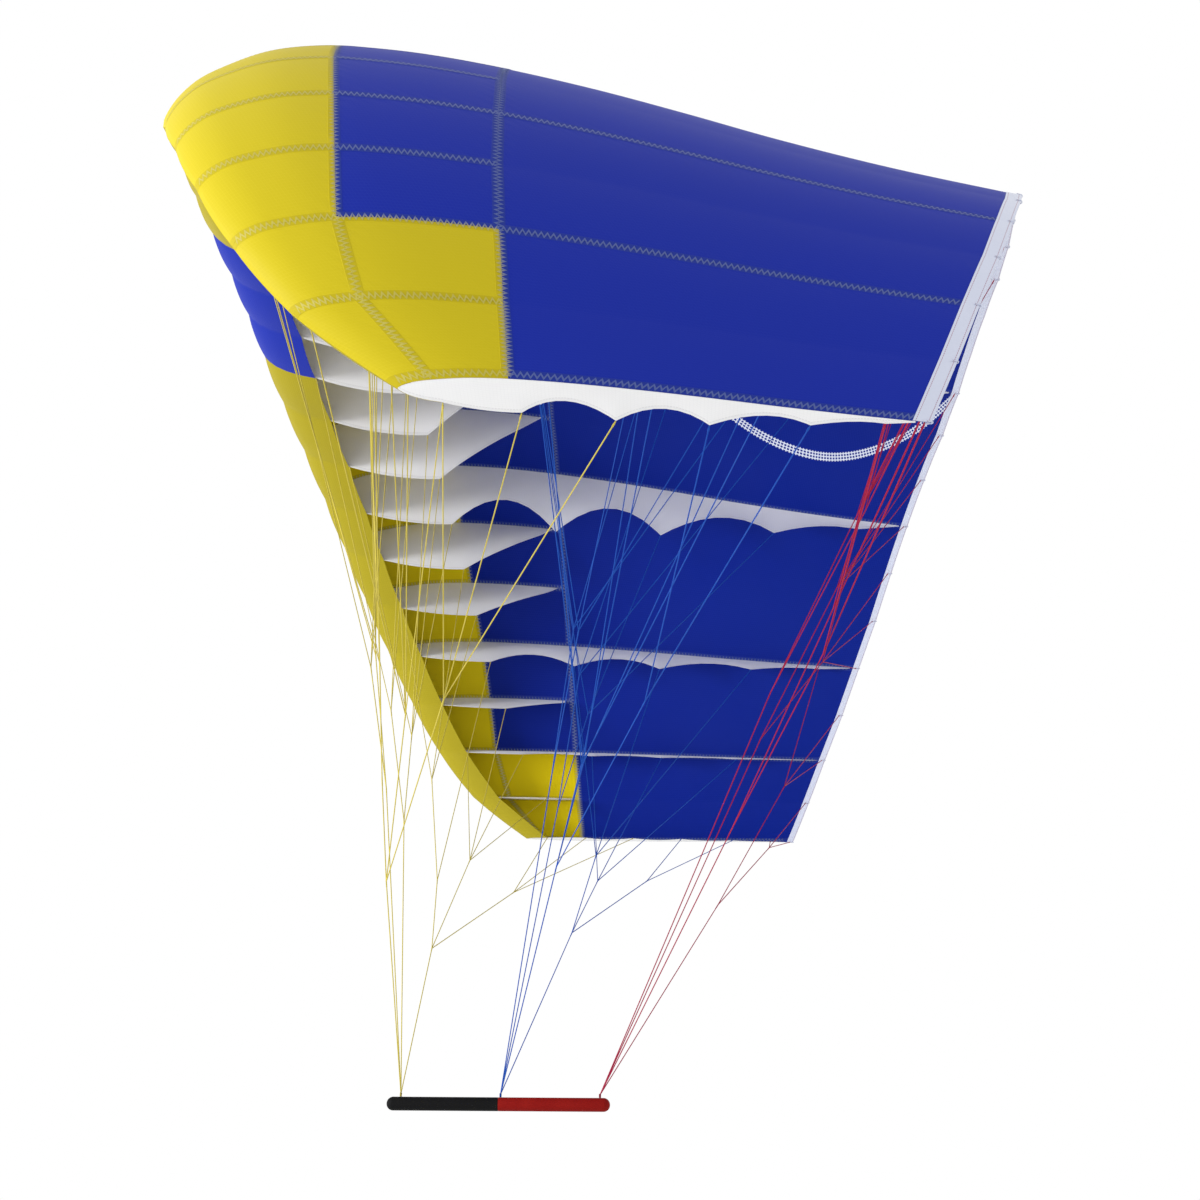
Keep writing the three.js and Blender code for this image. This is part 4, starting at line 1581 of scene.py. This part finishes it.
@dataclass
class Ribs:
    """The cloth ribs under the skin: full ones to the tail, and half ones between them.

    bow is how far a rib's cloth swells to one side, which it does fully where it is at least
    fully_bowed deep.
    """

    skin: Skin
    finishes: Finishes
    half: float = 0.0002
    clear: float = CLOTH_HALF + SEAM_RAISE + SEAM_GAP / 2
    column_count: int = 60
    depth_rows: int = 9
    bow: float = 0.003
    fully_bowed: float = 0.1
    hollow_points: int = 24
    bend_points: int = 40
    tail_points: int = 12

    def build(self) -> None:
        """Makes every rib."""
        for station in self.skin.all:
            self._sew(station)

    def _under_skin(self, station: Station) -> Array:
        """The line that keeps clear of the skin on its inside, over its whole section."""
        return station.points - station.normals * self.clear

    def _upper_edge(self, station: Station) -> Array:
        """The rib's edge along the skin, from the nose aft.

        Args:
            station: Where the rib stands.

        Returns:
            The edge's points.
        """
        inset = self._under_skin(station)[ROW_SAMPLES:]
        if station.row.full:
            spare = station.girth[-1] - station.girth[ROW_SAMPLES:]
            return inset[spare >= RIB_TAIL_INSET]
        return inset[: 2 * ROW_SAMPLES - ROW_SAMPLES // 20]

    def _lower_edge(self, station: Station) -> Array:
        """The rib's lower edge, from the nose aft: under the strip, then along its tabs.

        Args:
            station: Where the rib stands.

        Returns:
            The edge's points.
        """
        strip = self._under_skin(station)[ROW_SAMPLES::-1]
        tabs = {name: station.place(s, -drop) for name, (s, drop) in TABS.items()}
        sag = (strip[-1] + tabs["A"]) / 2 - station.up * FRONT_EDGE_SAG * station.chord
        parts = [strip, self._arc(strip[-1], sag, tabs["A"])]
        if station.row.full:
            for hollow, before, after in zip(HOLLOWS, TABS, list(TABS)[1:]):
                top = self._raised(station, hollow, (TABS[before], TABS[after]))
                parts.append(self._arc(tabs[before], top, tabs[after]))
            end = self._upper_edge(station)[-1] - station.up * RIB_TAIL_HEIGHT
            parts.append(np.linspace(tabs["E"], end, self.tail_points))
        else:
            level = (TABS["A"], (station.row.middle, TABS["A"][1]))
            bends = [self._raised(station, spot, level) for spot in HALF_RIB_CURVE]
            knots = np.array([tabs["A"], *bends, self._upper_edge(station)[-1]])
            parts.append(curve_points(knots, np.linspace(0, 1, self.bend_points)))
        return np.concatenate(parts)

    def _arc(self, start: Array, top: Array, end: Array) -> Array:
        """A smooth bend from start to end that passes through top halfway.

        Args:
            start: Its first point.
            top: Its middle.
            end: Its last point.

        Returns:
            Its points.
        """
        pull = 2 * top - (start + end) / 2
        t = np.linspace(0, 1, self.hollow_points)[:, None]
        return start * (1 - t) ** 2 + pull * 2 * t * (1 - t) + end * t**2

    @staticmethod
    def _raised(station: Station, spot: Sequence[float], ends: Sequence[tuple[float, float]]) -> Array:
        """A point of the lower edge that is raised from the line of the tabs towards the skin.

        Args:
            station: Where the rib stands.
            spot: The point's share of the chord, and of the way up to the skin.
            ends: The two ends of the line, each a share of the chord and a drop.

        Returns:
            The point.
        """
        s, top = spot
        low = -np.interp(s, *zip(*ends))
        return station.place(s, low + (station.skin_height(s) - low) * top)

    def _columns(self, station: Station, upper: Array) -> Array:
        """Picks where the grid's columns stand, close together at the nose.

        Args:
            station: Where the rib stands.
            upper: The points of its upper edge.

        Returns:
            The columns' shares of the chord.
        """
        shares = station.share_of(upper)
        start, end = shares.min() + 1e-4, shares[-1]
        spread = start + (end - start) * (1 - np.cos(np.linspace(0, np.pi / 2, self.column_count)))
        tabs = [s for s, _ in TABS.values() if s < end]
        return np.unique(np.round(np.concatenate([spread, tabs, [UNDER_NOSE[0][0]]]), 5))

    def _sew(self, station: Station) -> None:
        """Makes one rib as a thin sheet between its two edges.

        Args:
            station: Where the rib stands.
        """
        upper, lower = self._upper_edge(station), self._lower_edge(station)
        shares = self._columns(station, upper)
        tops, bottoms = (self._pick(station, edge, shares) for edge in (upper, lower))
        rows = np.linspace(0, 1, self.depth_rows)
        grid = tops[:, None] + (bottoms - tops)[:, None] * rows[None, :, None]
        depth = np.linalg.norm(bottoms - tops, axis=1)
        swell = self.bow * np.sin(np.pi * rows)[None] * np.minimum(depth / self.fully_bowed, 1.0)[:, None]
        sign = 1 if int(station.row.name) % 2 else -1
        grid = grid + station.across * (swell * sign)[..., None]
        face = station.across * self.half
        along = np.broadcast_to((shares * station.chord)[:, None], grid.shape[:2])
        edge = depth[:, None] * (1 - rows)[None]
        uvs = np.stack([along, edge], axis=-1)
        draft = Draft()
        draft.shell(grid - face, grid + face, uvs, edge=edge)
        tip = station.row is RIBS[-1]
        material = self.finishes.tip_cloth if tip else self.finishes.rib_cloth
        name = f"rib_{station.name}"
        piece = draft.build(name + "_cloth", material, Slot.TIP_CLOTH if tip else Slot.RIB_CLOTH)
        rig.replaces(piece, name)
        flat, area = flat_size(grid)
        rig.sheet(piece, flat=flat, held="stretched", area=area)
        log.info("%s: cut %.3f x %.3f m, %.3f m2", name, *flat, area)

    @staticmethod
    def _pick(station: Station, edge: Array, shares: Array) -> Array:
        """Points of an edge at shares of the chord.

        Args:
            station: Where the rib stands.
            edge: The edge's points, from the nose aft.
            shares: Shares of the chord.

        Returns:
            One point for each share.
        """
        places = station.share_of(edge)
        keep = np.concatenate([[True], np.diff(np.maximum.accumulate(places)) > 0])
        along = places[keep]
        return np.stack([np.interp(shares, along, edge[keep, axis]) for axis in range(3)], axis=-1)


# Trailing edge


@dataclass
class TrailingTape:
    """The folded tape over the trailing edge, wide outside and narrow inside."""

    skin: Skin
    finishes: Finishes
    near: float = 0.00062
    thickness: float = 0.0004
    fold: float = 0.0004
    step: float = 0.012

    def _profile(self) -> tuple[Array, Array, Array]:
        """The tape's section as distances forward of the tail and off the cloth.

        Returns:
            The inner face, the outer face, and how far each point is along the tape's width.
        """
        bend = np.linspace(np.pi / 2, -np.pi / 2, 7)
        faces = []
        for off in (self.near, self.near + self.thickness):
            flap_out = [(spot, off) for spot in np.linspace(TAPE_OUTSIDE, self.fold, 6)]
            fold = [(-off * math.cos(angle), off * math.sin(angle)) for angle in bend]
            flap_in = [(spot, -off) for spot in np.linspace(self.fold, TAPE_INSIDE, 4)]
            faces.append(np.array([*flap_out, *fold, *flap_in]))
        return faces[0], faces[1], run_along(faces[1])

    def build(self) -> None:
        """Makes the tape."""
        count = int(self.skin.spans[-1] / self.step)
        spans = np.unique(np.concatenate([np.linspace(0, self.skin.spans[-1], count), self.skin.spans]))
        us = self.skin.u_at(spans)
        tail = self.skin.at(us, TAIL)
        forward = unit(self.skin.at(us, TAIL - 0.15) - tail)
        out = self.skin.out(us, TAIL)
        out = unit(out - forward * np.einsum("ij,ij->i", out, forward)[:, None])
        inner, outer, run = self._profile()
        inner, outer = (
            tail[:, None] + forward[:, None] * face[None, :, :1] + out[:, None] * face[None, :, 1:]
            for face in (inner, outer)
        )
        uvs = np.stack(np.broadcast_arrays(spans[:, None], run[None]), axis=-1)
        draft = Draft()
        draft.shell(outer[:, ::-1], inner[:, ::-1], uvs[:, ::-1])
        piece = draft.build("trailing_edge_tape_cloth", self.finishes.tape, Slot.EDGE_TAPE)
        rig.replaces(piece, "trailing_edge_tape")
        flat, area = flat_size(outer)
        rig.sheet(piece, flat=flat, held="folded", area=area)
        log.info("trailing_edge_tape: cut %.3f x %.3f m", *flat)


# Lines


@dataclass(frozen=True)
class Fork:
    """A place where a line splits, on the right half, and what hangs from it.

    Each tie is a rib's number and its tab, where N is the free edge of the nose strip and T the
    trailing edge.
    """

    name: str
    at: tuple[float, float, float]
    carrier: str
    ties: tuple[tuple[int, str], ...] = ()
    is_cord: bool = True


@dataclass(frozen=True)
class LineSet:
    """All the lines of one colour."""

    node: str
    colour: str
    bar_x: float
    forks: tuple[Fork, ...]


FRONT_LINES = LineSet("front_lines", "yellow", -0.184, (
    Fork("outer", (-0.181, 0.336, 0.349), "bar"),
    Fork("outer_high", (-0.186, 0.415, 0.513), "outer", ((8, "A"),)),
    Fork("outer_top", (-0.206, 0.396, 0.738), "outer_high", ((6, "A"), (7, "N"), (7, "A")), is_cord=False),
    Fork("outer_middle", (-0.130, 0.552, 0.589), "outer", ((9, "A"), (10, "N"), (10, "A"), (11, "A"))),
    Fork("outer_tip", (-0.042, 0.740, 0.554), "outer", ((12, "N"), (12, "A"), (12, "B"))),
    Fork("inner", (-0.224, 0.126, 0.575), "bar"),
    Fork("inner_high", (-0.237, 0.262, 0.800), "inner", ((3, "A"), (4, "N"), (4, "A"), (5, "A"))),
    Fork("inner_top", (-0.266, 0.140, 0.818), "inner", ((1, "A"), (2, "N"), (2, "A"))),
))
MIDDLE_LINES = LineSet("middle_lines", "blue", 0.004, (
    Fork("outer", (0.119, 0.318, 0.380), "bar"),
    Fork("outer_high", (0.168, 0.473, 0.525), "outer", ((10, "B"), (10, "C"), (10, "D"))),
    Fork("outer_tip", (0.278, 0.682, 0.570), "outer", ((12, "C"), (12, "D"))),
    Fork("outer_top", (0.167, 0.368, 0.558), "outer", ((8, "B"), (8, "C"), (8, "D"))),
    Fork("inner", (0.095, 0.120, 0.600), "bar"),
    Fork("inner_high", (0.150, 0.262, 0.850), "inner", ((5, "B"), (5, "C"), (5, "D"))),
    Fork("inner_top", (0.135, 0.142, 0.900), "inner", ((2, "B"), (2, "C"), (2, "D"))),
))
REAR_LINES = LineSet("rear_lines", "red", 0.191, (
    Fork("outer", (0.431, 0.336, 0.444), "bar"),
    Fork("outer_tip", (0.569, 0.682, 0.651), "outer", ((12, "E"), (12, "T"), (11, "T"))),
    Fork("outer_high", (0.601, 0.575, 0.772), "outer", ((10, "E"), (10, "T"), (9, "T"), (8, "E"))),
    Fork("inner", (0.520, 0.150, 0.760), "bar"),
    Fork("inner_high", (0.686, 0.420, 1.027), "inner", ((8, "T"), (7, "T"), (6, "T"), (5, "E"))),
    Fork("inner_top", (0.700, 0.190, 1.120), "inner", ((5, "T"), (4, "T"), (3, "T"), (2, "E"), (2, "T"))),
))
BAR_RADIUS = 0.0125
BAR_KNOT = 0.005


@dataclass
class Lines:
    """The suspension lines, from the hand bar through their forks to the tabs."""

    skin: Skin
    finishes: Finishes
    loops: Draft = field(default_factory=Draft)
    steps: int = 16
    tie_sides: int = 6
    whipping: tuple[float, ...] = (-0.011, -0.0105, -0.002, 0.0, 0.002, 0.0035)
    whipping_radius: float = 0.0012
    tie_knot: tuple[float, ...] = (0.004, 0.005, 0.009, 0.010)
    bar_knot: tuple[float, ...] = (1.0, 0.8, 0.2, -0.4)
    loop_reach: float = 0.0025

    def build(self) -> None:
        """Makes the lines of all three colours and the loops round the trailing edge."""
        for line_set in (FRONT_LINES, MIDDLE_LINES, REAR_LINES):
            for side in Side:
                self._string(line_set, side)
        self.loops.build("trailing_edge_loops", self.finishes.tape, Slot.EDGE_TAPE, TUBE_FOLD)

    def _string(self, line_set: LineSet, side: Side) -> None:
        """Makes one colour's lines on one side.

        Args:
            line_set: The lines of that colour.
            side: The half of the wing.
        """
        places = {"bar": np.array((line_set.bar_x, 0.0, BAR_RADIUS + SEAM_GAP + BAR_KNOT))}
        material = getattr(self.finishes, f"{line_set.colour}_line")
        slot = Slot(f"{line_set.colour}_line")
        stations = self.skin.right if side is Side.RIGHT else self.skin.left
        loose: dict[str, Draft] = {}
        cords: dict[str, tuple[bpy.types.Object, Array]] = {}
        for fork in line_set.forks:
            x, y, z = fork.at
            places[fork.name] = np.array((x, side.value * y, z))
            name = f"{line_set.colour}_line_{side.label}_{fork.name}"
            path = np.linspace(places[fork.carrier], places[fork.name], self.steps)
            keeper = fork.name if fork.is_cord else fork.carrier
            ties = loose.setdefault(keeper, Draft())
            if fork.is_cord:
                draft = Draft()
                draft.tube(path, LINE_RADIUS)
                cords[fork.name] = (draft.build(name, material, slot, TUBE_FOLD), path)
            else:
                ties.tube(path, LINE_RADIUS)
            self._whipping(ties, path)
            if fork.carrier == "bar" and side is Side.RIGHT:
                foot = path[0] - np.multiply.outer(self.bar_knot, (0.0, 0.0, BAR_KNOT))
                ties.tube(foot, LINE_RADIUS * 2)
            for rib, tab in fork.ties:
                self._tie(ties, places[fork.name], stations[rib - 1], tab)
        for fork_name, (cord, path) in cords.items():
            ties = loose[fork_name].build(cord.name + "_ties", material, slot, TUBE_FOLD)
            for piece in (cord, ties):
                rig.replaces(piece, line_set.node)
            length = float(np.linalg.norm(path[-1] - path[0]))
            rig.cord(cord, exit=path[0], length=length, diameter=2 * LINE_RADIUS, far_end="knot",
                    stiffness="limp", lay="taut", path=path)
            log.info("%s: %.3f m", cord.name, length)

    def _whipping(self, draft: Draft, path: Array) -> None:
        """Adds the whipped knot at the upper end of a line."""
        aim = unit(path[-1] - path[0])
        draft.tube(path[-1] + np.multiply.outer(self.whipping, aim), self.whipping_radius)

    def _tie(self, draft: Draft, fork: Array, station: Station, tab: str) -> None:
        """Adds a line from a fork to a tab, and its knot there.

        Args:
            draft: The mesh that it goes into.
            fork: Where the fork is.
            station: The tab's rib.
            tab: The tab's name.
        """
        point, out = self._tab_place(station, tab)
        back = unit(fork - point)
        slope = math.acos(min(1.0, float(back @ out)))
        end = point + back * (SEAM_GAP + LINE_RADIUS * math.sin(slope)) / math.cos(slope)
        draft.tube(np.linspace(fork, end, 4), LINE_RADIUS, self.tie_sides)
        draft.tube(end + np.multiply.outer(self.tie_knot, back), LINE_RADIUS * 1.5, self.tie_sides)
        if tab == "T":
            self._edge_loop(station)

    def _edge_loop(self, station: Station) -> None:
        """Adds the loop that holds a line round the trailing edge.

        Args:
            station: The rib that it is beside.
        """
        tail, out = station.points[-1], station.normals[-1]
        forward = unit(station.points[-2] - tail)
        foot, off = tail + forward * TAPE_INSIDE / 2, out * (TAPE_FACE + LINE_RADIUS)
        turns = np.linspace(-np.pi / 2, np.pi / 2, 9)
        bend = [tail - forward * self.loop_reach * math.cos(a) + off * math.sin(a) for a in turns]
        self.loops.tube(np.array([foot - off, *bend, foot + off]), LINE_RADIUS * 0.9, self.tie_sides)

    def _tab_place(self, station: Station, tab: str) -> tuple[Array, Array]:
        """Where a line is tied.

        Args:
            station: The tab's rib.
            tab: The tab's name.

        Returns:
            The place, and the way out of the cloth there.
        """
        if tab == "N":
            return station.points[0] + station.aft * 2 * LINE_RADIUS, -station.up
        if tab == "T":
            forward = unit(station.points[-2] - station.points[-1])
            out = -station.normals[-1]
            return station.points[-1] + forward * TAPE_INSIDE / 2 + out * TAPE_FACE, out
        s, drop = TABS[tab]
        return station.place(s, -drop), -station.up


# Hand bar


@dataclass(frozen=True)
class HandBar:
    """The short bar that the lines meet on, with a foam grip on each half."""

    finishes: Finishes
    length: float = 0.420
    sides: int = 48
    dome_share: float = 0.98
    dome_steps: int = 12
    inner_bevel: float = 0.05
    fold: float = 35.0

    def build(self) -> None:
        """Makes the two grips."""
        self._grip("front_grip", -1, self.finishes.black_foam, Slot.BLACK_GRIP)
        self._grip("rear_grip", 1, self.finishes.red_foam, Slot.RED_GRIP)

    def _grip(self, node: str, way: int, material: bpy.types.Material, slot: Slot) -> None:
        """Makes one half of the bar from a cylinder with a domed outer end.

        Args:
            node: The CAD node that it stands for.
            way: -1 for the half towards the leading edge and 1 for the other.
            material: Its finish.
            slot: The record's slot.
        """
        start, end = SEAM_GAP / 2, self.length / 2
        bpy.ops.object.select_all(action="DESELECT")
        bpy.ops.mesh.primitive_cylinder_add(
            vertices=self.sides, radius=BAR_RADIUS, depth=end - start,
            location=(way * (start + end) / 2, 0, 0), rotation=(0, math.pi / 2, 0),
        )
        grip = bpy.context.active_object
        grip.name = node + "_foam"
        bpy.ops.object.transform_apply(location=True, rotation=True)
        ends = grip.data.attributes.new("bevel_weight_edge", "FLOAT", "EDGE")
        for edge in grip.data.edges:
            xs = [grip.data.vertices[corner].co.x * way for corner in edge.vertices]
            if min(xs) > end - 1e-4:
                ends.data[edge.index].value = 1.0
            elif max(xs) < start + 1e-4:
                ends.data[edge.index].value = self.inner_bevel
        bevel = grip.modifiers.new("dome", "BEVEL")
        bevel.limit_method = "WEIGHT"
        bevel.width = BAR_RADIUS * self.dome_share
        bevel.segments = self.dome_steps
        bpy.ops.object.modifier_apply(modifier=bevel.name)
        bpy.ops.object.shade_smooth_by_angle(angle=math.radians(self.fold))
        grip.data.materials.append(material)
        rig.slot(grip, slot.value)
        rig.ride(grip, BODY)
        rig.replaces(grip, node)
        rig.padded(grip, fill=0.9)
        log.info("%s: made", grip.name)


def main() -> None:
    """Builds the scene piece by piece."""
    logging.basicConfig(level=logging.INFO, format="%(name)s: %(message)s")
    studio = Studio()
    studio.place_camera()
    finishes = Finishes()
    skin = Skin()
    Lines(skin, finishes).build()
    panels = Panels(skin, finishes)
    panels.build()
    Stitches(skin, panels, finishes).build()
    Ribs(skin, finishes).build()
    TrailingTape(skin, finishes).build()
    HandBar(finishes).build()
    studio.light()
    with open(SIZE_FILE, "w", encoding="utf-8") as file:
        json.dump([[list(corner) for corner in box] for box in (cad_box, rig.bounds())], file)


if __name__ == "__main__":
    main()
